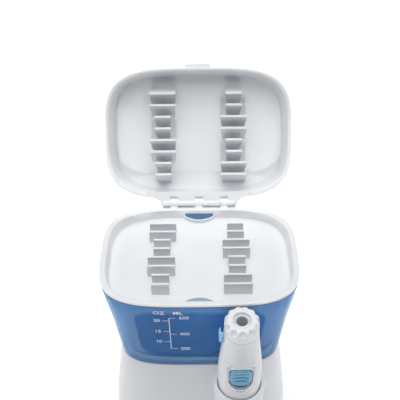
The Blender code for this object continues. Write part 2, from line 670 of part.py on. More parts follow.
def hinge_ledge(under):
    """The arms and eyes of the hinge, and the ledge behind the rim that carries them."""
    pieces = [box((-28.5, 47.0, under + 0.05), (28.5, 54.8, under + 0.6)),
              box((-28.5, 50.0, under - 1.1), (28.5, 54.8, under + 0.3))]
    for x in KNUCKLE_X:
        left, right = x - KNUCKLE_W / 2, x + KNUCKLE_W / 2
        pieces.append(box((left, 48.5, under + 0.1), (right, 54.2, HINGE_H - 1.2)))
        pieces.append(rod((left, HINGE_Y, HINGE_H), (right, HINGE_Y, HINGE_H), 2.2, 20))
    return pieces


def tray_parts(tray):
    under = RIM_H - 2.2
    floor = RIM_H - 9.0
    outer = [outline_ring(RIM_A - 0.4, RIM_B - 0.4, RIM_H), outline_ring(RIM_A, RIM_B, RIM_H - 0.7),
             outline_ring(RIM_A, RIM_B, under), outline_ring(67.4, 46.8, under),
             outline_ring(66.3, 45.9, floor - 1.8)]
    inner = [outline_ring(64.9, 44.6, floor), outline_ring(66.1, 45.6, RIM_H)]
    ribs = [rib(x, y, width, RIM_H + 1.0, floor - 0.8) for x, y, width in rib_places(False)]
    shell = combine(vessel(outer, inner), ribs + spines(floor - 0.8, floor + 1.2), "UNION")
    for bay_y in (BAY_BACK_Y, BAY_FRONT_Y):
        shell = with_finger_bay(shell, bay_y, floor)
    shell = combine(shell, hinge_ledge(under), "UNION")
    pin_bore = rod((-40, HINGE_Y, HINGE_H), (40, HINGE_Y, HINGE_H), 1.25, 16)
    finish(combine(shell, [pin_bore]), "tip_tray", "white_plastic", tray)
    pin = rod((-29.0, HINGE_Y, HINGE_H), (29.0, HINGE_Y, HINGE_H), 0.95, 16)
    finish(pin, "hinge_pin", "steel", tray)


# ---------------------------------------------------------------- lid

def lid_dome(low):
    top = low + LID_DEPTH
    outer = [outline_ring(RIM_A, RIM_B, low), outline_ring(RIM_A - 0.4, RIM_B - 0.4, low + 6.0),
             outline_ring(RIM_A - 3.4, RIM_B - 3.6, low + 18.0),
             outline_ring(RIM_A - 10.0, RIM_B - 10.4, low + 23.6),
             outline_ring(RIM_A - 26.0, RIM_B - 22.0, top - 0.4), outline_ring(22, 14, top)]
    inner = [outline_ring(22, 14, top - 2.0),
             outline_ring(RIM_A - 26.0, RIM_B - 22.0, top - 2.4),
             outline_ring(RIM_A - 11.0, RIM_B - 11.4, low + 21.6),
             outline_ring(RIM_A - 5.4, RIM_B - 5.6, low + 16.6),
             outline_ring(RIM_A - 1.8, RIM_B - 1.8, low)]
    return vessel(outer, inner)


def lid_ribs(low):
    """Ribs whose roots are set back towards the hinge; the last row's are shallower."""
    ribs = []
    for x, y, width in rib_places(True):
        root = LID_LAST_ROOT if y == rib_rows()[-1] else LID_RIB_ROOT
        share = (root - LID_RIB_TIP) / (LID_RIB_ROOT - LID_RIB_TIP)
        ribs.append(rib(x, y, width, low + LID_RIB_TIP, low + root, LID_RIB_LEAN * share,
                        LID_RIB_INSET * share))
    return ribs


def hinge_plate(low):
    """The flared plate at the lid's back edge, with the barrel round the pin."""
    flare = arc(-36.9, 57.6, 9.0, 270, 344, 6)
    mirrored = [(-u, v) for u, v in reversed(flare)]
    plate = prism([(-38.0, 44.0)] + flare + mirrored + [(38.0, 44.0)], low, 2.6, "Z")
    barrel = rod((-27.8, HINGE_Y, HINGE_H), (27.8, HINGE_Y, HINGE_H), 2.2, 20)
    return [plate, barrel]


def lid_parts(hinge):
    """Drawn closed and shifted so that the hinge axis is the local origin."""
    low = RIM_H + 0.4
    latch = box((-9.6, -RIM_B - 2.9, low + 0.1), (9.6, -RIM_B + 1.2, low + 3.6), 0.5)
    roots = spines(low + LID_DEPTH - 8.0, low + LID_DEPTH - 2.6)
    shell = combine(lid_dome(low), [latch] + hinge_plate(low) + lid_ribs(low) + roots, "UNION")
    half_slot = KNUCKLE_W / 2 + 0.4
    cutters = [box((x - half_slot, 50.2, RIM_H - 8), (x + half_slot, 60, RIM_H + 8))
               for x in KNUCKLE_X]
    cutters.append(rod((-40, HINGE_Y, HINGE_H), (40, HINGE_Y, HINGE_H), 1.25, 16))
    shell = combine(shell, cutters)
    shell.data.transform(Matrix.Translation((0, -HINGE_Y, -HINGE_H)))
    finish(shell, "lid_shell", "white_plastic", hinge)


# ---------------------------------------------------------------- handle

def shield(half_width, top, bottom, corner=4.0):
    """Outline with a flat top, rounded upper corners and a semicircular lower end."""
    low_centre = bottom + half_width
    points = arc(half_width - corner, top - corner, corner, 0, 90, 4)
    points += arc(-half_width + corner, top - corner, corner, 90, 180, 4)
    points += arc(0, low_centre, half_width, 180, 360, 15)
    return points


def handle_shells(handle):
    """The two long halves, with the switch's recess and the eject button's window."""
    inside = (-125.0, -105.0, -85.0, -70.0, -60.0, -50.0, -40.0, -29.0, -20.0, -14.3)
    outer = [(radius, height) for height, radius in HANDLE_PROFILE]
    inner = [(5.0, HANDLE_BOTTOM), (5.0, HANDLE_BOTTOM + 2.5)]
    inner += [(handle_radius(h) - HANDLE_WALL, h) for h in (HANDLE_BOTTOM + 2.5, *inside)]
    inner += [(6.4, -14.3), (6.4, -12.3)]
    body = turned(outer + inner, steps=20)
    pad = box((-9.5, -12.4, SWITCH_BOTTOM - 5), (9.5, -9.6, SWITCH_TOP + 3))
    body = combine(body, [pad], "UNION")
    recess = shield(8.3, SWITCH_TOP + 0.8, SWITCH_BOTTOM - SWITCH_TRAVEL - 0.8)
    slot = box((-2.4, -20, SWITCH_BOTTOM + 3.0), (2.4, -6, SWITCH_TOP - 4.0))
    window = box((-20, -2.6, EJECT_H - 5.2), (-8, 2.6, EJECT_H + 1.4))
    body = combine(body, [prism(recess, -20.0, 8.6), slot, window])
    back = twin(body)
    front_half = box((-30, -30, -160), (30, -GAP / 2, 10))
    back_half = box((-30, GAP / 2, -160), (30, 30, 10))
    finish(combine(body, [front_half], "INTERSECT"), "handle_front_shell", "white_plastic", handle)
    finish(combine(back, [back_half], "INTERSECT"), "handle_back_shell", "white_plastic", handle)


def water_way_parts(handle):
    """From top to bottom: nozzle socket, its seal, valve, tubes and the hose's nipple."""
    nozzle = turned([(4.15, -1.2), (5.0, -1.2), (5.0, -16.0), (6.1, -16.0), (6.1, -18.0),
                     (3.0, -18.0), (3.0, -26.0), (1.6, -26.0), (1.6, -17.0), (4.15, -17.0)],
                    steps=16)
    finish(nozzle, "nozzle_socket", "white_plastic", handle)
    seal = turned([(2.9, -16.7), (3.9, -16.7), (3.9, -15.7), (2.9, -15.7)], steps=14)
    finish(seal, "nozzle_seal", "dark_rubber", handle)
    valve = box((-5, -4.0, SWITCH_BOTTOM - 4), (5, 4.5, SWITCH_TOP), 0.6)
    finish(valve, "shut_off_valve", "grey_plastic", handle)
    upper = tube([(0, 0, -26.3), (0, 0, -32.0), (0, 0, SWITCH_TOP + 0.3)], 1.9)
    finish(upper, "upper_water_tube", "clear_tube", handle)
    lower = tube([(0, 0, SWITCH_BOTTOM - 4.3), (0, 0, -95.0), (0, 0, -129.7)], 1.9)
    finish(lower, "lower_water_tube", "clear_tube", handle)
    nipple = turned([(1.2, -130.0), (2.6, -130.0), (2.6, -137.0), (6.6, -137.0), (6.6, -139.2),
                     (4.6, -139.2), (4.6, HANDLE_BOTTOM - 1.0), (2.6, HANDLE_BOTTOM - 1.0),
                     (2.6, -148.0), (3.0, -149.0), (2.2, -152.0), (1.2, -152.0)], steps=14)
    finish(nipple, "hose_nipple", "light_blue", handle)


# Height, radius and depth of the finger scoops down the collar, then its bore
COLLAR_PROFILE = ((-COLLAR_LEN, COLLAR_R, 0.0), (-7.5, COLLAR_R, 0.0), (-6.0, COLLAR_R, 0.35),
                  (-4.5, COLLAR_R - 0.1, 0.9), (-3.0, COLLAR_R - 0.4, 1.3),
                  (-1.4, COLLAR_R - 1.1, 1.2), (-0.3, COLLAR_R - 2.4, 0.5),
                  (0.0, COLLAR_R - 3.6, 0.0), (0.0, 5.9, 0.0), (-2.4, 5.9, 0.0),
                  (-2.6, 5.35, 0.0), (-COLLAR_LEN, 5.35, 0.0))


def collar_part(handle):
    rings = []
    count, scoops = 36, 12
    for height, radius, depth in COLLAR_PROFILE:
        ring = []
        for i in range(count):
            angle = 2 * math.pi * i / count
            r = radius - depth * max(0.0, math.cos(scoops * (angle - math.pi / 2)))
            ring.append((r * math.cos(angle), r * math.sin(angle), height))
        rings.append(ring)
    finish(loft(rings, closed_loop=True), "rotation_collar", "white_plastic", handle)


def key_parts(handle):
    """The eject button at the handle's left and the thumb switch in its front."""
    seat = empty("eject_seat", (0, 0, 0), handle)
    rings = []
    for x, scale in ((-13.7, 0.55), (-13.9, 0.9), (-14.5, 1.0), (-15.1, 0.85), (-15.5, 0.5)):
        oval = circle(scale, 0.0, 20)
        rings.append([(x, 4.2 * across, EJECT_H + 6.0 * up) for across, up, _ in oval])
    stem = box((-14.4, -2.2, EJECT_H - 4.6), (-8.6, 2.2, EJECT_H + 0.8))
    finish(combine(loft(rings), [stem], "UNION"), "eject_button", "light_blue", seat)

    switch = prism(shield(7.4, SWITCH_TOP, SWITCH_BOTTOM), -14.9, 3.2)
    grooves = [box((-4.2, -16.0, h - 0.4), (4.2, -14.5, h + 0.4)) for h in (-50.4, -46.6, -42.6)]
    stem = box((-2.0, -12.0, SWITCH_BOTTOM + 7.0), (2.0, -4.3, SWITCH_TOP - 4.5))
    switch = combine(combine(switch, grooves), [stem], "UNION")
    finish(switch, "slide_switch", "light_blue", handle)


def main():
    clear_scene()
    root = empty("flosser_frame", (0, ORIGIN_Y, 0))
    base_shell(root)
    bottom_parts(root)
    dial_parts(root)
    button_parts(root)
    supply_parts(root)
    motor_parts(root)
    gear_parts(root)
    piston_parts(root)
    pump_parts(root)
    inlet_parts(root)
    tank_shell(root)
    tank_valve_parts(root)
    tray_parts(root)
    hinge = empty("lid_hinge", (0, HINGE_Y, HINGE_H), root, (-math.radians(LID_OPEN_DEG), 0, 0))
    lid_parts(hinge)
    handle = empty("handle_frame", (HANDLE_X, HANDLE_Y, HANDLE_H), root,
                   (math.radians(HANDLE_LEAN_DEG), 0, 0))
    handle_shells(handle)
    water_way_parts(handle)
    collar_part(handle)
    key_parts(handle)


main()
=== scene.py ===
"""Looks of a countertop water flosser with its lid open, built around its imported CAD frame.

Shapes are drawn in design millimetres: x to the user's right, y to the back, heights from
the resting surface, with x = y = 0 under the middle of the tray's rim. The handle's pieces
are drawn about its own axis, with z = 0 at the top of its collar, and the lid is drawn
closed. DESIGN, LID and HANDLE turn those millimetres into the frame's metres.
"""

import json
import math

import bmesh
import bpy
from mathutils import Matrix, Vector


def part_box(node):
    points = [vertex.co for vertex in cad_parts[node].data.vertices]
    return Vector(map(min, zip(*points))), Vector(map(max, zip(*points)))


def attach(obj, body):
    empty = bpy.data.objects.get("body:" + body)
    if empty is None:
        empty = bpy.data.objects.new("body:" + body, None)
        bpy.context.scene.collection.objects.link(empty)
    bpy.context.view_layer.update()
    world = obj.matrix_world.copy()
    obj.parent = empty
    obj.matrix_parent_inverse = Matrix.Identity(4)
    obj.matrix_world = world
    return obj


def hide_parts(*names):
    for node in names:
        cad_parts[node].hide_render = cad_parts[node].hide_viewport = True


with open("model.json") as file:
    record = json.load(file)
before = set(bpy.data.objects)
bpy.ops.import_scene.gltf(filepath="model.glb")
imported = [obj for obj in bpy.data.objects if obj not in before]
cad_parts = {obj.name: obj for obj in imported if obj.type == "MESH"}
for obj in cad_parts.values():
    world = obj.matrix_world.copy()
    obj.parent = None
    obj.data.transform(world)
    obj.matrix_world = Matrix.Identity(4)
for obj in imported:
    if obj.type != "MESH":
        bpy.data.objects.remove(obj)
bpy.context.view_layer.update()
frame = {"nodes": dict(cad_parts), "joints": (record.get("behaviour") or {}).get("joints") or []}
JOINTS = {joint["name"]: joint for joint in frame["joints"]}
NODES = frame["nodes"]
MM = 0.001

# ---------------------------------------------------------------- places, in millimetres

RIM_H = 202.0
RIM_A, RIM_B = 71.0, 49.8
SQUARENESS = 3.75
OUTLINE_POINTS = 160
SEAM_H, SEAM_A, SEAM_B, SEAM_Y = 113.0, 61.2, 34.3, 3.0
FOOT_A, FOOT_B = 71.0, 45.5
DECK_H = 119.3
BASE_BOTTOM, BASE_WALL = 1.5, 2.4
RECESS = 2.6             # how deep the dial and the power button sit in the base's front
HINGE_Y, HINGE_H = 53.4, RIM_H + 1.25
KNUCKLE_X = (-19.1, 0.2, 19.4)
KNUCKLE_W = 5.4
PIN_HOLE_R = 1.25

RIB_PITCH = 8.8
RIB_X = 27.1
RIB_WIDE, RIB_NARROW = 19.8, 12.2
SPINE_X = 24.8

COLLAR_R = 11.65
COLLAR_FILLET = 2.8
SCOOP_R, SCOOP_H = 11.9, -2.1
SCOOP_DEEP, SCOOP_WIDE, SCOOP_TALL = 2.7, 2.4, 3.6
HANDLE_TOP, HANDLE_BOTTOM = -12.35, -142.0
HANDLE_PROFILE = ((-12.3, 11.9), (-20.0, 12.4), (-29.0, 13.2), (-40.0, 14.4), (-50.0, 15.2),
                  (-60.0, 15.45), (-70.0, 15.2), (-85.0, 14.2), (-105.0, 12.8), (-125.0, 11.6),
                  (-139.0, 10.8), (HANDLE_BOTTOM, 8.6))
HOLSTER_TOP, HOLSTER_BOTTOM = -73.0, -126.0
SWITCH_TOP, SWITCH_BOTTOM, SWITCH_TRAVEL = -38.0, -56.5, 3.0
EJECT_H = -17.0
DIAL_X, DIAL_H = -10.0, 46.0
BUTTON_X, BUTTON_H = -38.0, 46.0
LENS_H = BUTTON_H + 16.0
OUTLET_H = 22.0
GLAND_X, GLAND_H = 34.0, 18.0
TO_FRONT = (0, -1, 0)
PRINT = 0.04             # half the thickness of a printed mark

DATUM = Vector(JOINTS["lid_swing"]["pos_m"]) - Vector((0.0, HINGE_Y, HINGE_H)) * MM
DESIGN = Matrix.Translation(DATUM) @ Matrix.Scale(MM, 4)
LID_OPEN = math.radians(max(JOINTS["lid_swing"]["range_deg"]))
HINGE = Vector((0.0, HINGE_Y, HINGE_H))
LID = (DESIGN @ Matrix.Translation(HINGE) @ Matrix.Rotation(-LID_OPEN, 4, "X")
       @ Matrix.Translation(-HINGE))
HANDLE_AXIS = Vector(JOINTS["collar_turn"]["axis"])
HANDLE_TURN = Vector((0, 0, 1)).rotation_difference(HANDLE_AXIS).to_matrix().to_4x4()
HANDLE = (Matrix.Translation(Vector(JOINTS["collar_turn"]["pos_m"])) @ HANDLE_TURN
          @ Matrix.Scale(MM, 4))
HANDLE_IN_DESIGN = DESIGN.inverted() @ HANDLE
HANDLE_X, HANDLE_Y = HANDLE_IN_DESIGN.translation[:2]
PLACES = {"lid": LID, "handle": HANDLE, "collar": HANDLE, "eject_key": HANDLE, "slider": HANDLE}


# ---------------------------------------------------------------- materials

class Shader:
    """A node material, built a node at a time."""

    def __init__(self, name):
        self.material = bpy.data.materials.new(name)
        self.material.use_nodes = True
        self.tree = self.material.node_tree
        self.tree.nodes.clear()
        self.out = self.node("ShaderNodeOutputMaterial")
        self.place = self.node("ShaderNodeTexCoord").outputs["Object"]

    def node(self, kind, **inputs):
        made = self.tree.nodes.new(kind)
        for name, value in inputs.items():
            self.put(made.inputs[name.replace("_", " ")], value)
        return made

    def put(self, socket, value):
        if isinstance(value, bpy.types.NodeSocket):
            self.tree.links.new(value, socket)
        else:
            socket.default_value = value

    def noise(self, scale, detail=2.0, roughness=0.5):
        """Noise whose scale counts waves per metre."""
        made = self.node("ShaderNodeTexNoise", Vector=self.place, Scale=scale, Detail=detail,
                         Roughness=roughness)
        return made.outputs["Fac"]

    def spread(self, value, low, high):
        """A 0 to 1 value, moved to the range from low to high."""
        made = self.node("ShaderNodeMapRange", Value=value)
        made.inputs["To Min"].default_value = low
        made.inputs["To Max"].default_value = high
        return made.outputs["Result"]

    def ramp(self, value, stops):
        made = self.node("ShaderNodeValToRGB", Fac=value)
        ramp = made.color_ramp
        while len(ramp.elements) < len(stops):
            ramp.elements.new(0.5)
        for element, (at, colour) in zip(ramp.elements, stops):
            element.position = at
            element.color = (*colour[:3], 1.0)
        return made.outputs["Color"]

    def bump(self, height, distance, strength=1.0):
        made = self.node("ShaderNodeBump", Height=height, Distance=distance, Strength=strength)
        return made.outputs["Normal"]

    def math(self, operation, first, second=0.0, third=0.0, clamp=False):
        made = self.node("ShaderNodeMath")
        made.operation = operation
        made.use_clamp = clamp
        for socket, value in zip(made.inputs, (first, second, third)):
            self.put(socket, value)
        return made.outputs[0]

    def mix(self, share, first, second):
        made = self.node("ShaderNodeMixShader")
        for socket, value in zip(made.inputs, (share, first, second)):
            self.put(socket, value)
        return made.outputs[0]

    def principled(self, **inputs):
        return self.node("ShaderNodeBsdfPrincipled", **inputs).outputs["BSDF"]

    def end(self, shader):
        self.tree.links.new(shader, self.out.inputs["Surface"])
        return self.material


def tone(colour, factor):
    return tuple(min(1.0, channel * factor) for channel in colour[:3])


def plastic(name, colour, roughness=0.3, vary=0.02, grain=0.00002, coat=0.0):
    """Moulded plastic: slow cloudiness in colour and gloss, and a fine moulded grain."""
    s = Shader(name)
    cloud = s.noise(38.0, 3.0)
    base = s.ramp(cloud, ((0.3, tone(colour, 1 - vary)), (0.7, tone(colour, 1 + vary))))
    rough = s.spread(s.noise(260.0, 4.0), roughness * 0.8, roughness * 1.2)
    relief = s.bump(s.noise(2600.0, 3.0, 0.6), grain, 0.2)
    body = s.principled(Base_Color=base, Roughness=rough, Normal=relief, Coat_Weight=coat,
                        Coat_Roughness=0.12)
    return s.end(body)


def rubber(name, colour):
    s = Shader(name)
    base = s.ramp(s.noise(700.0, 5.0), ((0.3, tone(colour, 0.75)), (0.75, tone(colour, 1.35))))
    relief = s.bump(s.noise(3200.0, 4.0, 0.7), 0.00004, 0.7)
    return s.end(s.principled(Base_Color=base, Roughness=0.72, Normal=relief))


def steel(name, colour):
    """Turned steel: fine streaks across the axis and a little tarnish."""
    s = Shader(name)
    streak = s.node("ShaderNodeTexWave", Vector=s.place, Scale=900.0, Distortion=2.0, Detail=2.0)
    rough = s.spread(streak.outputs["Fac"], 0.18, 0.38)
    base = s.ramp(s.noise(120.0, 4.0), ((0.3, tone(colour, 0.82)), (0.7, tone(colour, 1.1))))
    return s.end(s.principled(Base_Color=base, Roughness=rough, Metallic=1.0))


def circuit(name):
    """A green board with paler tracks."""
    s = Shader(name)
    cells = s.node("ShaderNodeTexVoronoi", Vector=s.place, Scale=420.0)
    cells.distance = "MANHATTAN"
    track = s.ramp(cells.outputs["Distance"], ((0.42, (0.02, 0.16, 0.07)), (0.5, (0.05, 0.3, 0.14))))
    return s.end(s.principled(Base_Color=track, Roughness=0.35, Coat_Weight=0.4))


def silicone(name, colour):
    s = Shader(name)
    base = s.ramp(s.noise(150.0, 3.0), ((0.3, tone(colour, 0.92)), (0.7, colour)))
    body = s.principled(Base_Color=base, Roughness=0.25, Coat_Weight=0.3)
    clear = s.node("ShaderNodeBsdfTransparent", Color=(0.9, 0.93, 0.95, 1.0)).outputs["BSDF"]
    return s.end(s.mix(0.45, body, clear))


WINDOW_LOW, WINDOW_HIGH, WINDOW_CORNER = 0.126, 0.191, 0.015
WINDOW_HALF, WINDOW_HALF_AT, WINDOW_FLARE = 0.0437, 0.145, 0.077
# painted shadow: from this height up the tank is painted dark, for the shade under the tray's rim
RIM_SHADOW_H = 0.1984     # where the dark line under the tray's rim starts


def past_window(s, x, height):
    """Metres from the edge of the tank's front window, a rounded box that widens upwards."""
    at_zero = WINDOW_HALF - WINDOW_FLARE * WINDOW_HALF_AT
    half_width = s.math("MULTIPLY_ADD", height, WINDOW_FLARE, at_zero - WINDOW_CORNER)
    side = s.math("SUBTRACT", s.math("ABSOLUTE", x), half_width)
    rise = s.math("SUBTRACT", height, (WINDOW_LOW + WINDOW_HIGH) / 2)
    half_height = (WINDOW_HIGH - WINDOW_LOW) / 2 - WINDOW_CORNER
    rise = s.math("SUBTRACT", s.math("ABSOLUTE", rise), half_height)
    side_out = s.math("MAXIMUM", side, 0.0)
    rise_out = s.math("MAXIMUM", rise, 0.0)
    away = s.math("SQRT", s.math("MULTIPLY_ADD", side_out, side_out,
                                 s.math("MULTIPLY", rise_out, rise_out)))
    return s.math("SUBTRACT", away, WINDOW_CORNER)


def window_masks(s):
    """Two masks on the tank: a band round its front window that paints light as paler, hazier blue, and
    thin dark lines of painted shade round the window and under the tray's rim.
    """
    split = s.node("ShaderNodeSeparateXYZ", Vector=s.place).outputs
    height = split["Z"]
    away = past_window(s, split["X"], height)
    lit_border = s.math("MULTIPLY_ADD", away, 900.0, 0.5, clamp=True)
    behind = s.math("SUBTRACT", split["Y"], DATUM.y - 0.012)
    front = s.math("MULTIPLY_ADD", behind, -120.0, 0.0, clamp=True)
    # painted shade: a thin dark line along the window's edge, low on the tank's front
    line = s.math("MULTIPLY_ADD", s.math("ABSOLUTE", away), -1600.0, 1.0, clamp=True)
    below = s.math("MULTIPLY_ADD", height, -100.0, 16.0, clamp=True)
    line = s.math("MULTIPLY", s.math("MULTIPLY", line, below), s.math("MULTIPLY", front, 0.7))
    # painted shadow: a dark band at the tank's top, under the tray's rim
    rim = s.math("MULTIPLY_ADD", height, 2500.0, -2500.0 * RIM_SHADOW_H, clamp=True)
    rim = s.math("MULTIPLY", rim, 0.8)
    return s.math("MULTIPLY", lit_border, front), s.math("MAXIMUM", line, rim)


def tinted(name, face_on, edge_on, haze_and_border_light, shares):
    """Clear coloured plastic: darker where light crosses it edge-on, with painted light as paler,
    hazier blue round its window and painted shade as dark lines.
    """
    s = Shader(name)
    facing = s.node("ShaderNodeLayerWeight", Blend=0.35).outputs["Facing"]
    depth = s.ramp(facing, ((0.0, face_on), (0.8, face_on), (0.93, edge_on),
                            (1.0, tone(edge_on, 0.45))))
    clear = s.node("ShaderNodeBsdfTransparent", Color=depth).outputs["BSDF"]
    lit_border, painted_shade_lines = window_masks(s)
    # painted light: round the window the blue turns paler and hazier, standing for light let through
    # the tank's sides
    inner, outer = (s.ramp(s.noise(24.0, 2.0), ((0.3, tone(h, 0.95)), (0.7, tone(h, 1.05))))
                    for h in haze_and_border_light)
    cloud = s.node("ShaderNodeMixRGB", Fac=lit_border, Color1=inner, Color2=outer).outputs["Color"]
    rough = s.spread(s.noise(180.0, 3.0), 0.042, 0.084)
    relief = s.bump(s.noise(60.0, 2.0), 0.00012, 0.5)
    body = s.principled(Base_Color=cloud, Roughness=rough, Normal=relief, IOR=1.49)
    gloss = s.node("ShaderNodeFresnel", IOR=1.49, Normal=relief).outputs["Fac"]
    least = s.math("MULTIPLY_ADD", lit_border, shares[1] - shares[0], shares[0])
    share = s.math("MULTIPLY_ADD", gloss, 0.7, least, clamp=True)
    # the dark colour of the painted shade lines
    dark = s.principled(Base_Color=(0.02, 0.06, 0.13, 1.0), Roughness=0.3)
    return s.end(s.mix(painted_shade_lines, s.mix(share, clear, body), dark))


WHITE = plastic("gloss_white", (0.80, 0.815, 0.835), 0.34, 0.012, 0.00002)
PALE = plastic("satin_white", (0.76, 0.775, 0.80), 0.36, 0.012, 0.00002, 0.1)
# the ribs and spines are white plastic; this grey is painted shade on their faces, and their tips keep
# the white
RIB_SHADE_GREY = plastic("rib_painted_shade", (0.66, 0.68, 0.705), 0.42, 0.02, 0.00002)
SKY = plastic("light_blue_key", (0.13, 0.42, 0.68), 0.22, 0.03, 0.00002, 0.5)
SKY_PALE = plastic("pale_blue_key", (0.30, 0.62, 0.90), 0.22, 0.03, 0.00002, 0.5)
GREY = plastic("matt_grey", (0.15, 0.155, 0.165), 0.5, 0.05, 0.00003)
BORE = plastic("bore_grey", (0.58, 0.62, 0.68), 0.5, 0.03, 0.00003)
ACETAL = plastic("cream_acetal", (0.66, 0.64, 0.56), 0.42, 0.04, 0.00003)
INK = plastic("grey_ink", (0.13, 0.14, 0.15), 0.55, 0.04, 0.00001)
MARK = plastic("white_ink", (0.86, 0.88, 0.90), 0.5, 0.02, 0.00001)
RUBBER = rubber("black_rubber", (0.028, 0.028, 0.031))
STEEL = steel("turned_steel", (0.60, 0.60, 0.62))
BOARD = circuit("circuit_board")
TUBE = silicone("clear_silicone", (0.80, 0.84, 0.86))
LENS = plastic("green_lens", (0.10, 0.55, 0.20), 0.12, 0.05, 0.00001, 0.6)
# the second, paler colour and the larger share paint light round the window
BLUE = tinted("clear_blue", (0.655, 0.81, 0.93), (0.52, 0.70, 0.87),
              ((0.16, 0.42, 0.78), (0.36, 0.62, 0.92)), (0.05, 0.15))
SMOOTH_ANGLE = math.radians(32.0)


# ---------------------------------------------------------------- shape helpers

def new_object(name, data):
    made = bpy.data.objects.new(name, data)
    bpy.context.scene.collection.objects.link(made)
    return made


def loose(name, bm):
    mesh = bpy.data.meshes.new(name)
    bm.to_mesh(mesh)
    bm.free()
    return new_object(name, mesh)


def bake(obj):
    """The object with its modifiers, or its curve, made into one plain mesh."""
    graph = bpy.context.evaluated_depsgraph_get()
    mesh = bpy.data.meshes.new_from_object(obj.evaluated_get(graph))
    name = obj.name
    bpy.data.objects.remove(obj)
    return new_object(name, mesh)


def combine(target, tools, operation="DIFFERENCE"):
    for tool in tools:
        step = target.modifiers.new("cut", "BOOLEAN")
        step.operation = operation
        step.solver = "EXACT"
        step.object = tool
        target = bake(target)
        bpy.data.objects.remove(tool)
    return target


def settle(obj, name, material, body, stands_for=()):
    """Put a finished shape in its place, and hand it to its body, nodes and material slot."""
    obj.name = name
    obj.data.name = name
    obj.data.transform(PLACES.get(body, DESIGN))
    obj.data.materials.clear()
    obj.data.materials.append(material)
    obj.data.shade_smooth()
    obj.data.set_sharp_from_angle(angle=SMOOTH_ANGLE)
    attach(obj, body)
    if stands_for:
        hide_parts(*stands_for)


def rounded(corners, steps=5):
    """A line through (u, v, radius) corners, each turned into a short arc."""
    line = []
    for i, (u, v, radius) in enumerate(corners):
        here = Vector((u, v))
        if radius == 0 or i in (0, len(corners) - 1):
            line.append(here)
            continue
        back = Vector(corners[i - 1][:2]) - here
        on = Vector(corners[i + 1][:2]) - here
        reach = radius / math.tan(back.angle(on) / 2)
        reach = min(reach, 0.48 * back.length, 0.48 * on.length)
        start = here + back.normalized() * reach
        end = here + on.normalized() * reach
        for k in range(steps + 1):
            t = k / steps
            line.append(start * (1 - t) ** 2 + here * (2 * t * (1 - t)) + end * t ** 2)
    return line


def outline(a, b, height, centre_y=0.0):
    """A rounded-rectangle outline (a superellipse) at one height."""
    points = []
    for i in range(OUTLINE_POINTS):
        angle = 2 * math.pi * i / OUTLINE_POINTS
        c, s = math.cos(angle), math.sin(angle)
        reach = (abs(c) ** SQUARENESS + abs(s) ** SQUARENESS) ** (-1 / SQUARENESS)
        points.append(Vector((a * reach * c, centre_y + b * reach * s, height)))
    return points


def skin(rings, closed=False):
    """Quads between rings of equal count. The end rings are capped, or joined if closed."""
    bm = bmesh.new()
    levels = [[bm.verts.new(point) for point in ring] for ring in rings]
    count = len(levels[0])
    pairs = zip(levels, levels[1:] + levels[:1]) if closed else zip(levels, levels[1:])
    for low, high in pairs:
        for i in range(count):
            j = (i + 1) % count
            bm.faces.new((low[i], low[j], high[j], high[i]))
    if not closed:
        bm.faces.new(levels[0])
        bm.faces.new(levels[-1])
    bmesh.ops.recalc_face_normals(bm, faces=bm.faces)
    return loose("skin", bm)


def shrink(ring, centre, scales):
    """Copies of a ring, drawn in towards a centre."""
    return [[centre + (point - centre) * k for point in ring] for k in scales]


def turned(profile, closed=False, steps=64, centre=(0, 0, 0), axis=(0, 0, 1), radius_at=None):
    """A body turned from (radius, height) points. radius_at may change a radius with its angle."""
    turn = Vector((0, 0, 1)).rotation_difference(Vector(axis)).to_matrix().to_4x4()
    place = Matrix.Translation(Vector(centre)) @ turn
    rings = []
    for radius, height in profile:
        ring = []
        for i in range(steps):
            angle = 2 * math.pi * i / steps
            r = radius_at(radius, angle, height) if radius_at else radius
            ring.append(place @ Vector((r * math.cos(angle), r * math.sin(angle), height)))
        rings.append(ring)
    return skin(rings, closed)


def bore(radius, low, high, centre, axis=(0, 0, 1), steps=32):
    """A cylinder to cut a hole with, from low to high along an axis through its centre."""
    return turned([(radius, low), (radius, high)], steps=steps, centre=centre, axis=axis)


def box(low, high, bevel=0.0, segments=3):
    low, high = Vector(low), Vector(high)
    bm = bmesh.new()
    bmesh.ops.create_cube(bm, size=1.0)
    bmesh.ops.scale(bm, vec=high - low, verts=bm.verts)
    bmesh.ops.translate(bm, vec=(low + high) / 2, verts=bm.verts)
    if bevel:
        bmesh.ops.bevel(bm, geom=bm.edges, offset=bevel, segments=segments, affect="EDGES")
    return loose("box", bm)


def drawn_out(points, along):
    """The mesh of a flat outline, drawn out along a vector."""
    bm = bmesh.new()
    face = bm.faces.new([bm.verts.new(point) for point in points])
    grown = bmesh.ops.extrude_face_region(bm, geom=[face])["geom"]
    verts = [item for item in grown if isinstance(item, bmesh.types.BMVert)]
    bmesh.ops.translate(bm, vec=along, verts=verts)
    bmesh.ops.recalc_face_normals(bm, faces=bm.faces)
    return bm


def prism(points, low, high, bevel=0.0):
    """A flat outline of (x, y) points, raised from one height to another."""
    bm = drawn_out([(x, y, low) for x, y in points], (0, 0, high - low))
    if bevel:
        edges = [edge for edge in bm.edges
                 if abs(edge.verts[0].co.z - edge.verts[1].co.z) < 1e-4
                 and edge.verts[0].co.z > high - 1e-4]
        bmesh.ops.bevel(bm, geom=edges, offset=bevel, segments=3, affect="EDGES")
    return loose("prism", bm)


def arc(centre_u, centre_v, radius, start_deg, end_deg, count):
    points = []
    for i in range(count):
        angle = math.radians(start_deg + (end_deg - start_deg) * i / (count - 1))
        points.append((centre_u + radius * math.cos(angle), centre_v + radius * math.sin(angle)))
    return points


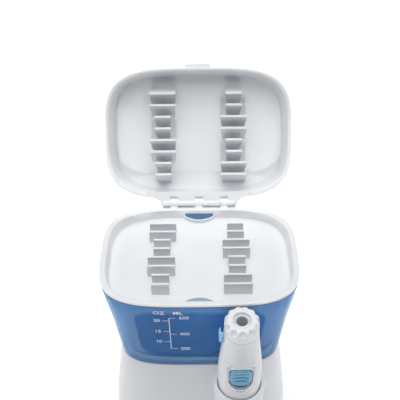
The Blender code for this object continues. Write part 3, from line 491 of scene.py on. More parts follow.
def swept(section, path):
    """A closed section of (side, height) points, carried along a flat path."""
    rings = []
    for i, (x, y) in enumerate(path):
        before = Vector(path[max(i - 1, 0)])
        after = Vector(path[min(i + 1, len(path) - 1)])
        along = (after - before).normalized()
        side = Vector((along.y, -along.x))
        rings.append([Vector((x + side.x * u, y + side.y * u, v)) for u, v in section])
    return skin(rings)


def joined(parts):
    """Several loose shapes as one object."""
    bm = bmesh.new()
    for part in parts:
        bm.from_mesh(part.data)
        bpy.data.objects.remove(part)
    return loose("joined", bm)


def lettering(text, height, x, y, widen=1.0):
    """Flat letters in the x-y plane, centred at one place, in millimetres."""
    curve = bpy.data.curves.new("lettering", "FONT")
    curve.body = text
    curve.size = height * 1.4
    curve.align_x = "CENTER"
    curve.align_y = "CENTER"
    curve.extrude = PRINT
    curve.offset = 0.015 * height
    curve.resolution_u = 3
    letters = bake(new_object("lettering", curve))
    letters.data.transform(Matrix.Diagonal((widen, 1.0, 1.0, 1.0)))
    letters.data.transform(Matrix.Translation((x, y, 0)))
    return letters


def printed(marks, front, gap):
    """Flat marks as one object, laid just off a front wall whose y is front(x, height)."""
    made = joined(marks)
    for vertex in made.data.vertices:
        x, h, out = vertex.co
        vertex.co = Vector((x, front(x, h) - gap - out, h))
    return made


def front_reach(x, a, b):
    """How far forward a rounded-rectangle outline reaches at one x."""
    return b * max(0.0, 1 - abs(x / a) ** SQUARENESS) ** (1 / SQUARENESS)


# ---------------------------------------------------------------- base

def base_half(height):
    t = (SEAM_H - height) / SEAM_H
    swell = 1 - (1 - t) ** 2
    return SEAM_A + (FOOT_A - SEAM_A) * swell, SEAM_B + (FOOT_B - SEAM_B) * swell


def base_outline(height, inset=0.0):
    a, b = base_half(height)
    return outline(a - inset, b - inset, height, SEAM_Y)


def base_front(height):
    return SEAM_Y - base_half(height)[1]


def handle_radius(height):
    for (high, r_high), (low, r_low) in zip(HANDLE_PROFILE, HANDLE_PROFILE[1:]):
        if low <= height <= high:
            return r_low + (r_high - r_low) * (height - low) / (high - low)
    return HANDLE_PROFILE[0][1]


def base_walls():
    """The flared housing's walls, its shoulder and its deck, open underneath."""
    heights = [BASE_BOTTOM + (SEAM_H - 1.2 - BASE_BOTTOM) * i / 16 for i in range(17)]
    outer = [base_outline(BASE_BOTTOM, 0.9), base_outline(BASE_BOTTOM + 0.3, 0.25)]
    outer += [base_outline(h) for h in heights[1:]]
    shoulder = rounded([(0.0, SEAM_H - 1.2, 0), (0.0, SEAM_H, 0.8), (3.2, SEAM_H, 0.4),
                        (3.2, DECK_H, 1.0), (8.0, DECK_H, 0)], 3)
    top = [outline(SEAM_A - u, SEAM_B - u, h, SEAM_Y) for u, h in shoulder[1:]]
    inner = [outline(SEAM_A - 5.6, SEAM_B - 5.6, h - BASE_WALL, SEAM_Y) for h in (DECK_H, SEAM_H)]
    inner += [base_outline(h, BASE_WALL) for h in (SEAM_H - 9.0, 80.0, 60.0, 30.0, BASE_BOTTOM)]
    return skin(inner + outer + top)


def holster_sleeve():
    """The sleeve that holds the handle, and the web that carries it on the base's front."""
    line = rounded([(10.5, HOLSTER_BOTTOM, 0), (15.4, HOLSTER_BOTTOM, 0.8), (17.4, -100.0, 3.0),
                    (18.4, HOLSTER_TOP - 4.0, 3.0), (18.2, HOLSTER_TOP, 1.1),
                    (10.5, HOLSTER_TOP, 0)], 5)
    sleeve = turned(line, steps=96)
    sleeve.data.transform(HANDLE_IN_DESIGN)
    web = box((HANDLE_X - 9, HANDLE_Y + 12, 85), (HANDLE_X + 9, base_front(85) + 4, 108), 1.0)
    return [sleeve, web]


def holster_bore():
    """The sleeve's inside, which follows the handle with a small gap."""
    heights = [HOLSTER_BOTTOM - 1, -120.0, -105.0, -95.0, -85.0, HOLSTER_TOP - 1.0]
    line = [(handle_radius(h) + 0.5, h) for h in heights]
    line += [(handle_radius(HOLSTER_TOP) + 0.75, HOLSTER_TOP - 0.3),
             (handle_radius(HOLSTER_TOP) + 1.1, HOLSTER_TOP + 1.0)]
    inside = turned(line, steps=96)
    inside.data.transform(HANDLE_IN_DESIGN)
    return inside


def base_body():
    """The flared white housing with its deck, holster and the recesses in its front."""
    shell = combine(base_walls(), holster_sleeve(), "UNION")
    shell = combine(shell, [holster_bore()])
    face = base_front(DIAL_H) + RECESS
    at_dial, at_button = (DIAL_X, face, DIAL_H), (BUTTON_X, face, BUTTON_H)
    backs = [turned([(19.0, -2.4), (19.0, 1.5)], steps=48, centre=at_dial, axis=TO_FRONT),
             turned([(11.0, -3.6), (11.0, 0.5)], steps=48, centre=at_button, axis=TO_FRONT)]
    shell = combine(shell, backs, "UNION")
    dial_well = [(16.8, 0.0), (16.8, 1.4), (17.6, 2.4), (22.0, 20.0)]
    button_well = [(7.9, -20.0), (7.9, 1.9), (8.7, 2.9), (12.0, 20.0)]
    shell = combine(shell, [
        turned(dial_well, steps=96, centre=at_dial, axis=TO_FRONT),
        bore(3.4, -20.0, 20.0, at_dial, TO_FRONT),
        turned(button_well, centre=at_button, axis=TO_FRONT),
        bore(1.9, -20.0, 20.0, (BUTTON_X, face, LENS_H), TO_FRONT),
        bore(9.0, DECK_H - 7, DECK_H + 9, (0, SEAM_Y, 0), steps=64),
        bore(4.4, -60.0, 20.0, (HANDLE_X, -40, OUTLET_H), TO_FRONT),
        bore(5.2, -20.0, 20.0, (GLAND_X, 45, GLAND_H), (0, 1, 0)),
    ])
    settle(shell, "base_housing", WHITE, "base", ["base_shell"])


def wall_y(x, height):
    """Y of the base's front wall at one place."""
    a, b = base_half(height)
    return SEAM_Y - front_reach(x, a, b)


def base_print():
    """The dial's numbers and the power mark under its button, printed in grey."""
    marks = []
    for number in range(1, 11):
        angle = math.radians(240 - 30 * (number - 1))
        x, h = DIAL_X + 20.6 * math.cos(angle), DIAL_H + 20.6 * math.sin(angle)
        marks.append(lettering(str(number), 2.6, x, h))
    middle = BUTTON_H - 15.0
    circle = arc(BUTTON_X, middle, 2.6, 125, 415, 20) + arc(BUTTON_X, middle, 2.1, 415, 125, 20)
    marks.append(prism(circle, -PRINT, PRINT))
    marks.append(box((BUTTON_X - 0.25, middle + 0.2, -PRINT), (BUTTON_X + 0.25, middle + 3.4, PRINT)))
    made = printed(marks, wall_y, 0.06)
    settle(made, "dial_print", INK, "base")


def bottom_plate():
    """The plate that closes the base, with its screw holes and vents."""
    half_width, half_depth = (half - 3.0 for half in base_half(BASE_BOTTOM))
    line = rounded([(4.0, 1.5, 0), (0.0, 1.5, 0.4), (0.0, 3.9, 0.3), (4.0, 3.9, 0)], 3)
    plate = skin([outline(half_width - u, half_depth - u, h, SEAM_Y) for u, h in line])
    cutters = [bore(1.9, -4.0, 14.0, (x, y, 0), steps=24) for x in (-50.0, 50.0) for y in (-22.0, 28.0)]
    cutters += [box((x - 1.2, -4, 0), (x + 1.2, 14, 10), 0.5) for x in (-12, -6, 0, 6, 12)]
    plate = combine(plate, cutters)
    settle(plate, "bottom_plate", PALE, "base", ["bottom_cover"])


def feet():
    line = rounded([(0.6, 0.0, 0), (5.4, 0.0, 0.4), (6.0, 0.7, 0.3), (6.0, 1.2, 0.1), (0.6, 1.2, 0)], 3)
    for node in ("foot_front_left", "foot_front_right", "foot_back_left", "foot_back_right"):
        low_corner, high_corner = (DESIGN.inverted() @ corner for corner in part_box(node))
        middle = (low_corner + high_corner) / 2
        pad = turned(line, steps=48, centre=(middle.x, middle.y, 0))
        settle(pad, node + "_pad", RUBBER, "base", [node])


def gland_and_outlet():
    """The mains lead's gland in the back, and the water outlet in the front."""
    back = SEAM_Y + base_half(GLAND_H)[1]
    gland_line = rounded([(4.9, -10.0, 0), (4.9, 0.8, 0), (7.4, 0.8, 0.3), (7.4, 2.6, 0.8),
                          (4.6, 7.0, 0.5), (3.0, 7.0, 0.2), (3.0, 1.0, 0), (0.6, 1.0, 0)], 4)
    gland = turned(gland_line, steps=48, centre=(GLAND_X, back, GLAND_H), axis=(0, 1, 0))
    settle(gland, "mains_inlet", RUBBER, "base", ["mains_gland"])
    front = base_front(OUTLET_H) - 0.8
    outlet_line = rounded([(1.5, -10.0, 0), (4.0, -10.0, 0), (4.0, 0.0, 0), (6.8, 0.0, 0.4),
                           (6.8, 2.0, 0.5), (3.0, 2.0, 0.4), (2.6, 5.6, 0), (3.0, 6.8, 0.3),
                           (2.4, 9.5, 0.3), (1.5, 9.5, 0.1)], 3)
    outlet = turned(outlet_line, closed=True, steps=48, centre=(HANDLE_X, front, OUTLET_H),
                    axis=TO_FRONT)
    settle(outlet, "water_outlet", SKY, "base", ["hose_outlet"])


def dial_ripple(radius, angle, height):
    """The fine grip round the dial's rim."""
    if radius > 14.6 and height < 5.6:
        return radius - 0.35 * max(0.0, math.cos(24 * angle))
    return radius


def dial():
    face = base_front(DIAL_H) + RECESS
    line = rounded([(0.8, 0.3, 0), (14.6, 0.3, 0.3), (15.6, 1.2, 0.5), (15.1, 5.2, 1.0),
                    (13.6, 6.4, 0.6), (12.8, 5.7, 0.4), (0.8, 5.9, 0)], 4)
    knob = turned(line, steps=144, centre=(DIAL_X, face, DIAL_H), axis=TO_FRONT, radius_at=dial_ripple)
    ridge = box((DIAL_X - 1.5, face - 8.0, DIAL_H - 11), (DIAL_X + 1.5, face - 5.0, DIAL_H + 12), 0.6)
    knob = combine(knob, [ridge], "UNION")
    settle(knob, "dial_knob", SKY, "dial", ["pressure_dial"])
    pointer = box((DIAL_X - 0.35, face - 8.07, DIAL_H + 5), (DIAL_X + 0.35, face - 7.9, DIAL_H + 11.2))
    settle(pointer, "dial_pointer", MARK, "dial")


def power_button():
    line = rounded([(0.6, -5.6, 0), (9.6, -5.6, 0.2), (9.6, -4.0, 0.2), (7.5, -4.0, 0.1),
                    (7.5, 3.2, 1.2), (5.6, 3.8, 1.5), (0.6, 3.3, 0)], 4)
    cap = turned(line, centre=(BUTTON_X, base_front(BUTTON_H) + RECESS, BUTTON_H), axis=TO_FRONT)
    settle(cap, "power_cap", SKY, "power_key", ["power_button"])


# ---------------------------------------------------------------- tank

TANK_TOP = RIM_H - 2.5
TANK_LOW = SEAM_H + 2.3
TANK_BEAD = 0.55
TANK_WALL = 1.9
TANK_FLOOR = DECK_H + 2.3
TANK_STEPS = 18
FLOOR_R = 6.0            # radius between the tank's wall and its floor
TANK_LEVELS = ((TANK_TOP, 70.1, 48.9, 0.0), (TANK_TOP - 11.0, 69.5, 48.3, 0.0),
               (156.4, 65.6, 41.6, SEAM_Y * 0.5), (TANK_LOW, 61.6, 34.8, SEAM_Y))


def tank_half(height):
    """Half-width, half-depth and centre of the tank's outline at one height."""
    for (h1, a1, b1, y1), (h0, a0, b0, y0) in zip(TANK_LEVELS, TANK_LEVELS[1:]):
        if height >= h0:
            t = min(1.0, (height - h0) / (h1 - h0))
            return a0 + (a1 - a0) * t, b0 + (b1 - b0) * t, y0 + (y1 - y0) * t
    return TANK_LEVELS[-1][1:]


def tank_outline(height, inset=0.0):
    a, b, y = tank_half(height)
    return outline(a - inset, b - inset, height, y)


def tank_front(x, height):
    """Y of the tank's front wall at one place, the bead under the rim included."""
    a, b, y = tank_half(height)
    bead = TANK_BEAD if height > TANK_TOP - 4.7 else 0.0
    return y - bead - front_reach(x, a, b)


def floor_step(point):
    """The floor's right-hand part stands higher."""
    t = min(1.0, max(0.0, (point.x - 8.5) / 5.5))
    return 6.0 * t * t * (3 - 2 * t)


def tank_outside():
    """Rings from the hollow under the tank, up its outer wall, over its bead and rim."""
    bottom, under = SEAM_H + 0.3, DECK_H + 0.3
    rings = [outline(SEAM_A - 2.4, SEAM_B - 2.4, under, SEAM_Y),
             outline(SEAM_A - 2.4, SEAM_B - 2.4, bottom, SEAM_Y),
             outline(SEAM_A - 0.6, SEAM_B - 0.5, bottom, SEAM_Y),
             outline(SEAM_A + 0.1, SEAM_B + 0.2, bottom + 0.6, SEAM_Y)]
    rise = TANK_TOP - 5.2 - TANK_LOW
    rings += [tank_outline(TANK_LOW + rise * i / TANK_STEPS) for i in range(TANK_STEPS + 1)]
    bead = rounded([(0.0, TANK_TOP - 5.0, 0), (-TANK_BEAD, TANK_TOP - 4.4, 0.3),
                    (-TANK_BEAD, TANK_TOP - 1.1, 0.4), (0.5, TANK_TOP - 0.9, 0.1),
                    (0.5, TANK_TOP, 0.2), (TANK_WALL, TANK_TOP, 0.4),
                    (TANK_WALL, TANK_TOP - 5.0, 0)], 3)
    return rings + [tank_outline(h, u) for u, h in bead]


def tank_inside():
    """Rings down the tank's inner wall, round to its floor and in to the floor's middle."""
    top = TANK_TOP - 6.0
    drop = top - TANK_FLOOR - FLOOR_R
    rings = [tank_outline(top - drop * i / TANK_STEPS, TANK_WALL) for i in range(TANK_STEPS + 1)]
    for i in range(1, 7):
        turn = math.radians(15 * i)
        rings.append(tank_outline(TANK_FLOOR + FLOOR_R * (1 - math.sin(turn)),
                                  TANK_WALL + FLOOR_R * (1 - math.cos(turn))))
    rings += shrink(rings[-1], Vector((0, SEAM_Y, TANK_FLOOR)), [0.97 - 0.04 * i for i in range(24)])
    for ring in rings:
        for point in ring:
            if point.z < TANK_FLOOR + 14.0:
                point.z += floor_step(point) * (1 - max(0.0, point.z - TANK_FLOOR) / 14.0)
    return rings


def tank_body():
    """The clear blue tank: thick wall, hollow underside and a floor with a step."""
    shell = skin(tank_outside() + tank_inside())
    shell = combine(shell, [bore(5.0, DECK_H - 4, DECK_H + 9, (0, SEAM_Y, 0), steps=48)])
    settle(shell, "tank_clear", BLUE, "tank", ["tank_shell"])


def tank_marks():
    """The graduations: a line, ticks on both sides and numbers, in white on the front wall."""
    top, low, head_h = 187.0, 139.8, 192.7
    line_x, tick = -21.1, 4.6
    marks = [box((line_x - 0.3, low, -PRINT), (line_x + 0.3, top, PRINT))]
    for h, number in ((top, "600"), (162.3, "400"), (low, "200")):
        marks.append(box((line_x, h - 0.25, -PRINT), (line_x + tick, h + 0.25, PRINT)))
        marks.append(lettering(number, 4.2, line_x + 10.4, h, 0.8))
    for h, number in ((182.8, "20"), (166.3, "15"), (150.5, "10")):
        marks.append(box((line_x - tick, h - 0.25, -PRINT), (line_x, h + 0.25, PRINT)))
        marks.append(lettering(number, 4.2, line_x - 8.6, h, 0.8))
    marks.append(lettering("OZ", 3.4, line_x - 6.8, head_h, 1.15))
    marks.append(lettering("ML", 3.4, line_x + 6.2, head_h, 1.15))
    made = printed(marks, tank_front, 0.08)
    settle(made, "tank_graduations", MARK, "tank")


# ---------------------------------------------------------------- tray

FLOOR_H = RIM_H - 9.0
BAYS = (("back", 1, 56.9), ("front", -1, 53.6))
BAY_BACK = 48.2
BAY_R = 15.3


def tray_ring(inset, height):
    return outline(RIM_A - inset, RIM_B - 0.86 * inset, height, 0.093 * min(inset, 5.0))


def floor_rise(x, y):
    """The floor slopes up gently behind a crease."""
    crease = 23.5 + 4.5 * abs(x / 62.0) ** 3
    return 0.09 * max(0.0, y - crease)


def rib(x, y, width, root_h, tip_h, thick, root_inset, lean):
    """One rib, thicker at its root, which may be narrower and set back from its tip."""
    bm = bmesh.new()
    bmesh.ops.create_cube(bm, size=1.0)
    for vertex in bm.verts:
        root = vertex.co.z < 0
        x_scale = width - (2 * root_inset if root else 0.0)
        y_scale = thick + (0.5 if root else 0.0)
        shift = lean if root else 0.0
        height = root_h if root else tip_h
        vertex.co = Vector((vertex.co.x * x_scale, vertex.co.y * y_scale + shift, height))
    bmesh.ops.bevel(bm, geom=bm.edges, offset=0.22, segments=2, affect="EDGES")
    bmesh.ops.translate(bm, vec=(x, y, 0), verts=bm.verts)
    return loose("rib", bm)


def rib_places(left_starts_wide):
    """Middle and width of every rib: two columns of paired wide and narrow ribs."""
    places = []
    for side in (-1, 1):
        wide_first = left_starts_wide if side < 0 else not left_starts_wide
        for row in range(8):
            wide = (row // 2) % 2 == (0 if wide_first else 1)
            places.append((side * RIB_X, RIB_PITCH * (row - 3.5), RIB_WIDE if wide else RIB_NARROW))
    return places


def rib_comb(root_h, tip_h, left_starts_wide, root_inset=0.0, lean=0.0):
    return joined([rib(x, y, width, root_h, tip_h, 1.3, root_inset, lean)
                   for x, y, width in rib_places(left_starts_wide)])


def rib_tips(height, left_starts_wide):
    """The flat white edge of every rib, a little wider than the rib itself; the rib below it is grey
    for painted shade.
    """
    return joined([box((x - width / 2 - 0.1, y - 0.85, height - 0.4),
                       (x + width / 2 + 0.1, y + 0.85, height + 0.4), 0.15, 2)
                   for x, y, width in rib_places(left_starts_wide)])


def tray_dish():
    """The tray itself: flat rim, dished middle and a finger bay cut through at each long side."""
    line = rounded([(12.0, FLOOR_H - 1.8, 0), (4.6, FLOOR_H - 1.8, 0.8), (3.0, RIM_H - 2.2, 0.3),
                    (0.25, RIM_H - 2.2, 0.2), (0.0, RIM_H, 1.0), (4.3, RIM_H, 1.0),
                    (5.6, FLOOR_H, 1.6), (9.0, FLOOR_H, 0)], 5)
    rings = [tray_ring(u, h) for u, h in line]
    rings += shrink(rings[-1], Vector((0, 0, FLOOR_H)), [0.965 - 0.035 * i for i in range(27)])
    for ring in rings[len(line) // 2:]:
        for point in ring:
            share = min(1.0, max(0.0, 1 - (point.z - FLOOR_H) / 3.0))
            point.z += floor_rise(point.x, point.y) * share
    wells = []
    for _, side, bay_y in BAYS:
        well = bore(BAY_R, 150.0, RIM_H - 2.9, (0, side * bay_y, 0), steps=96)
        low, high = sorted((side * 30.0, side * BAY_BACK))
        wells.append(combine(well, [box((-25, low, 100), (25, high, 230))], "INTERSECT"))
    dish = combine(skin(rings), wells)
    settle(dish, "tray_dish", WHITE, "tray", ["tip_tray"])


def finger_bays():
    """The curved wall round each finger bay."""
    for label, side, bay_y in BAYS:
        section = rounded([(-0.65, FLOOR_H - 1.8, 0), (-0.65, RIM_H - 4.8, 0.5),
                           (0.65, RIM_H - 4.8, 0.5), (0.75, FLOOR_H + 0.6, 0.6),
                           (1.6, FLOOR_H - 0.1, 0.2), (1.6, FLOOR_H - 1.8, 0)], 4)
        section = [(-u * side, v) for u, v in section]
        middle = -90 * side
        path = arc(0, side * bay_y, BAY_R + 0.65, middle - 56 * side, middle + 56 * side, 65)
        settle(swept(section, path), f"finger_bay_{label}", WHITE, "tray")


def tray_ribs():
    # the ribs are grey for painted shade; their tips are the tray's own white
    ribs = rib_comb(FLOOR_H - 0.8, RIM_H + 0.9, False)
    settle(ribs, "tray_ribs", RIB_SHADE_GREY, "tray")
    settle(rib_tips(RIM_H + 0.8, False), "tray_rib_tips", WHITE, "tray")


def knuckle(x):
    """An arm from the rim's back edge that ends in an eye round the hinge pin."""
    eye = arc(HINGE_Y, HINGE_H, 2.2, -70, 200, 28)
    profile = eye + [(48.6, RIM_H - 0.4), (48.6, RIM_H - 2.0), (HINGE_Y + 0.6, RIM_H - 2.0)]
    points = [(x - KNUCKLE_W / 2, y, z) for y, z in profile]
    arm = loose("arm", drawn_out(points, (KNUCKLE_W, 0, 0)))
    return combine(arm, [bore(PIN_HOLE_R, -6, 6, (x, HINGE_Y, HINGE_H), (1, 0, 0))])


def tray_hinge():
    """The tray's half of the hinge: three knuckles, their ledge and a thin clear tab under it that puts
    painted shade into the back finger bay.
    """
    parts = [knuckle(x) for x in KNUCKLE_X]
    parts += [box((-28.5, 47.0, RIM_H - 2.15), (28.5, 54.6, RIM_H - 1.6)),
              box((-28.5, 50.0, RIM_H - 3.3), (28.5, 54.8, RIM_H - 1.9), 0.3)]
    settle(joined(parts), "tray_knuckles", WHITE, "tray")
    # painted shade: a clear sheet hung behind the back bay, darkening what shows through it
    tab = box((-16.0, 50.0, RIM_H - 14.0), (16.0, 50.8, RIM_H - 3.3), 0.2)
    settle(tab, "tray_back_shade_tab", TUBE, "tray")


# ---------------------------------------------------------------- lid

LID_LOW = RIM_H + 0.4
LID_DEPTH = 26.0
LID_POWER = 5.5
LID_RIB_INSET, LID_RIB_LEAN = 1.6, 9.5
LID_RIB_TIP_H = LID_LOW + 1.7


def dome(angle_deg):
    """A ring of the lid's dome: a superellipse in section as well as in plan."""
    c, s = math.cos(math.radians(angle_deg)), math.sin(math.radians(angle_deg))
    reach = (c ** LID_POWER + s ** LID_POWER) ** (-1 / LID_POWER)
    k = reach * c
    return outline(RIM_A * k, RIM_B * k, LID_LOW + LID_DEPTH * reach * s)


def lid_walls():
    """The dome, its stepped rim and its inner floor, which slopes down towards the hinge."""
    angles = (88, 84, 78, 70, 62, 56, 52, 49, 47, 45, 43, 41, 38, 34, 28, 22, 16, 10, 5)
    rings = [dome(angle) for angle in angles]
    rim = rounded([(0.0, 1.2, 0), (0.0, 0.0, 0.6), (2.0, 0.0, 0.35), (2.1, 0.9, 0.2),
                   (2.7, 1.0, 0.2), (5.9, 21.6, 1.1), (9.0, 22.3, 0)], 4)
    rings += [outline(RIM_A - u, RIM_B - u * (0.96 if v > 10 else 1.0), LID_LOW + v) for u, v in rim]
    edge = rings[-1]
    floor_h, floor_steps = LID_LOW + 23.6, 27
    for i in range(1, floor_steps + 1):
        k = 1 - 0.035 * i
        rings.append([Vector((p.x * k, p.y * k, floor_h - (floor_h - p.z) * k * k)) for p in edge])
    for ring in rings[-(floor_steps + len(rim) // 2):]:
        for point in ring:
            slope = LID_LOW + 23.4 - 0.58 * (point.y - 31.0 - 5.0 * abs(point.x / 60.0) ** 3)
            point.z = min(point.z, slope)
    return skin(rings)


def lid_fittings():
    """The front latch, the hinge plate and the barrel along its edge."""
    latch = box((-9.6, -RIM_B - 2.9, LID_LOW + 0.1), (9.6, -RIM_B + 1.2, LID_LOW + 3.6), 0.7)
    flare = arc(-36.9, 57.6, 9.0, 270, 344, 12)
    mirrored = [(-u, v) for u, v in reversed(flare)]
    plate = prism([(-40.0, 44.6)] + flare + mirrored + [(40.0, 44.6)], LID_LOW, LID_LOW + 2.6, 0.4)
    line = rounded([(0.3, -27.8, 0), (2.2, -27.8, 0.4), (2.2, 27.8, 0.4), (0.3, 27.8, 0)], 3)
    barrel = turned(line, steps=40, centre=(0, HINGE_Y, HINGE_H), axis=(1, 0, 0))
    return [latch, plate, barrel]


def hinge_cutters():
    """A slot and a shallow recess for each of the tray's knuckles, and the pin's hole."""
    half = KNUCKLE_W / 2 + 0.3
    cutters = [box((x - half, 50.6, RIM_H - 8), (x + half, 60, LID_LOW + 3.2)) for x in KNUCKLE_X]
    cutters += [box((x - half, 47.9, RIM_H - 8), (x + half, 51, LID_LOW + 2.0)) for x in KNUCKLE_X]
    cutters.append(bore(PIN_HOLE_R, -40, 40, (0, HINGE_Y, HINGE_H), (1, 0, 0)))
    return cutters


def lid_body():
    shell = combine(lid_walls(), lid_fittings(), "UNION")
    shell = combine(shell, hinge_cutters())
    settle(shell, "lid_dome", WHITE, "lid", ["lid_shell"])


def lid_ribs():
    """The lid's ribs with their white tips, a pad before each column and a spine behind it; ribs and
    spines are grey for painted shade.
    """
    ribs = rib_comb(LID_LOW + 24.2, LID_RIB_TIP_H, True, LID_RIB_INSET, LID_RIB_LEAN)
    settle(ribs, "lid_ribs", RIB_SHADE_GREY, "lid")
    tips = rib_tips(LID_RIB_TIP_H, True)
    settle(tips, "lid_rib_tips", WHITE, "lid")
    first_rows = [place for place in rib_places(True) if place[1] < -3 * RIB_PITCH]
    pads = [rib(x, y, width, LID_LOW + 22.6, LID_LOW + 1.9, 1.0, 0.3, -3.6)
            for x, y, width in first_rows]
    settle(joined(pads), "lid_rib_pads", PALE, "lid")
    spines = [box((x - 0.4, -31.0, LID_LOW + 17.5), (x + 0.4, 31.0, LID_LOW + 23.8), 0.15, 1)
              for x in (-SPINE_X, SPINE_X)]
    settle(joined(spines), "lid_spines", RIB_SHADE_GREY, "lid")


# ---------------------------------------------------------------- handle

def smooth_radius(height):
    """The handle's radius, on a cubic curve through the profile's points."""
    knots = HANDLE_PROFILE
    for i in range(len(knots) - 1):
        (h1, r1), (h2, r2) = knots[i], knots[i + 1]
        if h2 <= height <= h1:
            h0, r0 = knots[max(i - 1, 0)]
            h3, r3 = knots[min(i + 2, len(knots) - 1)]
            t = (height - h1) / (h2 - h1)
            slope1 = (r2 - r0) / (h2 - h0) * (h2 - h1)
            slope2 = (r3 - r1) / (h3 - h1) * (h2 - h1)
            return ((2 * t ** 3 - 3 * t ** 2 + 1) * r1 + (t ** 3 - 2 * t ** 2 + t) * slope1
                    + (3 * t ** 2 - 2 * t ** 3) * r2 + (t ** 3 - t ** 2) * slope2)
    return knots[-1][1]


def shield(half_width, top, bottom, corner):
    """Outline with a flat top, rounded upper corners and a semicircular lower end."""
    points = arc(half_width - corner, top - corner, corner, 0, 90, 8)
    points += arc(-half_width + corner, top - corner, corner, 90, 180, 8)
    points += arc(0, bottom + half_width, half_width, 180, 360, 33)
    return points


def facing_prism(points, back, front):
    """A (x, height) outline that runs from y = back to y = front."""
    made = prism(points, -back, -front)
    made.data.transform(Matrix(((1, 0, 0, 0), (0, 0, -1, 0), (0, 1, 0, 0), (0, 0, 0, 1))))
    return made


def switch_frame(margin):
    """The edge of the thumb switch's recess, or a line outside it by a margin."""
    return shield(8.3 + margin, SWITCH_TOP + 0.9 + margin,
                  SWITCH_BOTTOM - SWITCH_TRAVEL - 0.4 - margin, 7.0 + margin)


def handle_walls():
    """The hollow grip, with a thicker wall under the thumb switch."""
    start, end = HANDLE_TOP - 0.5, HANDLE_BOTTOM + 2.6
    heights = [start - (start - end) * i / 44 for i in range(45)]
    outer = [(smooth_radius(start) - 0.5, HANDLE_TOP), (smooth_radius(start) - 0.15, HANDLE_TOP - 0.12)]
    outer += [(smooth_radius(h), h) for h in heights]
    outer += [(9.9, HANDLE_BOTTOM + 1.0), (9.0, HANDLE_BOTTOM + 0.2), (8.2, HANDLE_BOTTOM)]
    inner = [(5.0, HANDLE_BOTTOM), (5.0, HANDLE_BOTTOM + 2.5)]
    inner += [(handle_radius(h) - 1.9, h) for h in (HANDLE_BOTTOM + 2.6, -125.0, -105.0, -85.0,
                                                     -60.0, -40.0, -29.0, -20.0, -14.3)]
    inner += [(6.4, -14.3), (6.4, HANDLE_TOP)]
    walls = turned(outer + inner, closed=True, steps=128)
    pad = box((-9.5, -12.4, SWITCH_BOTTOM - 5), (9.5, -9.6, SWITCH_TOP + 3))
    return combine(walls, [pad], "UNION")


def handle_body():
    """The two long shells of the handle, with the recess, slot and window for its keys."""
    pocket = facing_prism(switch_frame(0.0), -11.4, -20.0)
    window = box((-20, -2.6, EJECT_H - 5.2), (-8, 2.6, EJECT_H + 1.4), 0.4)
    slot = box((-2.4, -20, SWITCH_BOTTOM + 3.0), (2.4, -6, SWITCH_TOP - 4.0))
    body = combine(handle_walls(), [pocket, slot, window])
    copy = new_object("copy", body.data.copy())
    gap = 0.08
    front = combine(body, [box((-30, -30, -160), (30, -gap, 10))], "INTERSECT")
    back = combine(copy, [box((-30, gap, -160), (30, 30, 10))], "INTERSECT")
    settle(front, "grip_front", WHITE, "handle", ["handle_front_shell"])
    settle(back, "grip_back", WHITE, "handle", ["handle_back_shell"])


def grip_dots():
    """Three small marks under the thumb switch."""
    height = -62.4
    r = smooth_radius(height)
    line = rounded([(0.1, 0.12, 0), (0.5, 0.12, 0.1), (0.55, -0.4, 0)], 2)
    dots = []
    for x in (-2.4, 0.0, 2.4):
        y = -math.sqrt(r * r - x * x)
        dots.append(turned(line, steps=20, centre=(x, y, height), axis=(x / r, y / r, 0)))
    settle(joined(dots), "grip_dots", INK, "handle")


def switch_bezel():
    """The raised lip round the switch's recess, which follows the handle's curve."""
    inner, outer = switch_frame(0.0), switch_frame(1.2)
    rings = []
    for share, lift in ((0.0, -1.2), (0.0, 0.1), (0.15, 0.34), (0.4, 0.42), (0.7, 0.32),
                        (1.0, -0.05), (1.0, -1.2)):
        ring = []
        for (x0, z0), (x1, z1) in zip(inner, outer):
            x, z = x0 + (x1 - x0) * share, z0 + (z1 - z0) * share
            r = smooth_radius(z)
            ring.append(Vector((x, -math.sqrt(max(r * r - x * x, 0.01)) - lift, z)))
        rings.append(ring)
    bezel = skin(rings, closed=True)
    settle(bezel, "switch_bezel", WHITE, "handle")


def scooped(radius, angle, height):
    """The collar's radius where twelve rounded scoops are cut into its outside."""
    if radius <= 7.0:
        return radius
    sector = math.pi / 6
    across = COLLAR_R * ((angle - math.pi / 2 + sector / 2) % sector - sector / 2)
    inside = 1 - (across / SCOOP_WIDE) ** 2 - ((height - SCOOP_H) / SCOOP_TALL) ** 2
    return min(radius, SCOOP_R - SCOOP_DEEP * math.sqrt(inside)) if inside > 0 else radius


def collar():
    """The collar that turns the nozzle, with its twelve finger scoops."""
    line = [(COLLAR_R - 0.25, -12.0), (COLLAR_R, -11.75)]
    line += [(COLLAR_R, -11.0 + 0.4 * i) for i in range(20)]
    line += arc(COLLAR_R - COLLAR_FILLET, -COLLAR_FILLET, COLLAR_FILLET, 0, 90, 18)
    line += [(6.3, 0.0), (6.0, -0.1), (5.9, -0.35), (5.9, -2.4), (5.35, -2.4), (5.35, -12.0)]
    ring = turned(line, closed=True, steps=288, radius_at=scooped)
    settle(ring, "collar_ring", WHITE, "collar", ["rotation_collar"])


def nozzle_socket():
    """The socket that a nozzle plugs into, and its darker bore."""
    line = rounded([(4.4, -1.8, 0.1), (5.1, -1.8, 0.3), (5.1, -16.0, 0), (6.1, -16.0, 0),
                    (6.1, -18.0, 0), (3.0, -18.0, 0), (3.0, -26.0, 0), (1.6, -26.0, 0),
                    (1.6, -17.0, 0), (4.4, -17.0, 0)], 3)
    socket = turned(line, closed=True)
    settle(socket, "nozzle_ring", WHITE, "handle", ["nozzle_socket"])
    liner = turned([(4.35, -1.9), (4.35, -16.8), (3.8, -16.8), (3.8, -2.3)], closed=True, steps=48)
    settle(liner, "nozzle_bore_liner", BORE, "handle")


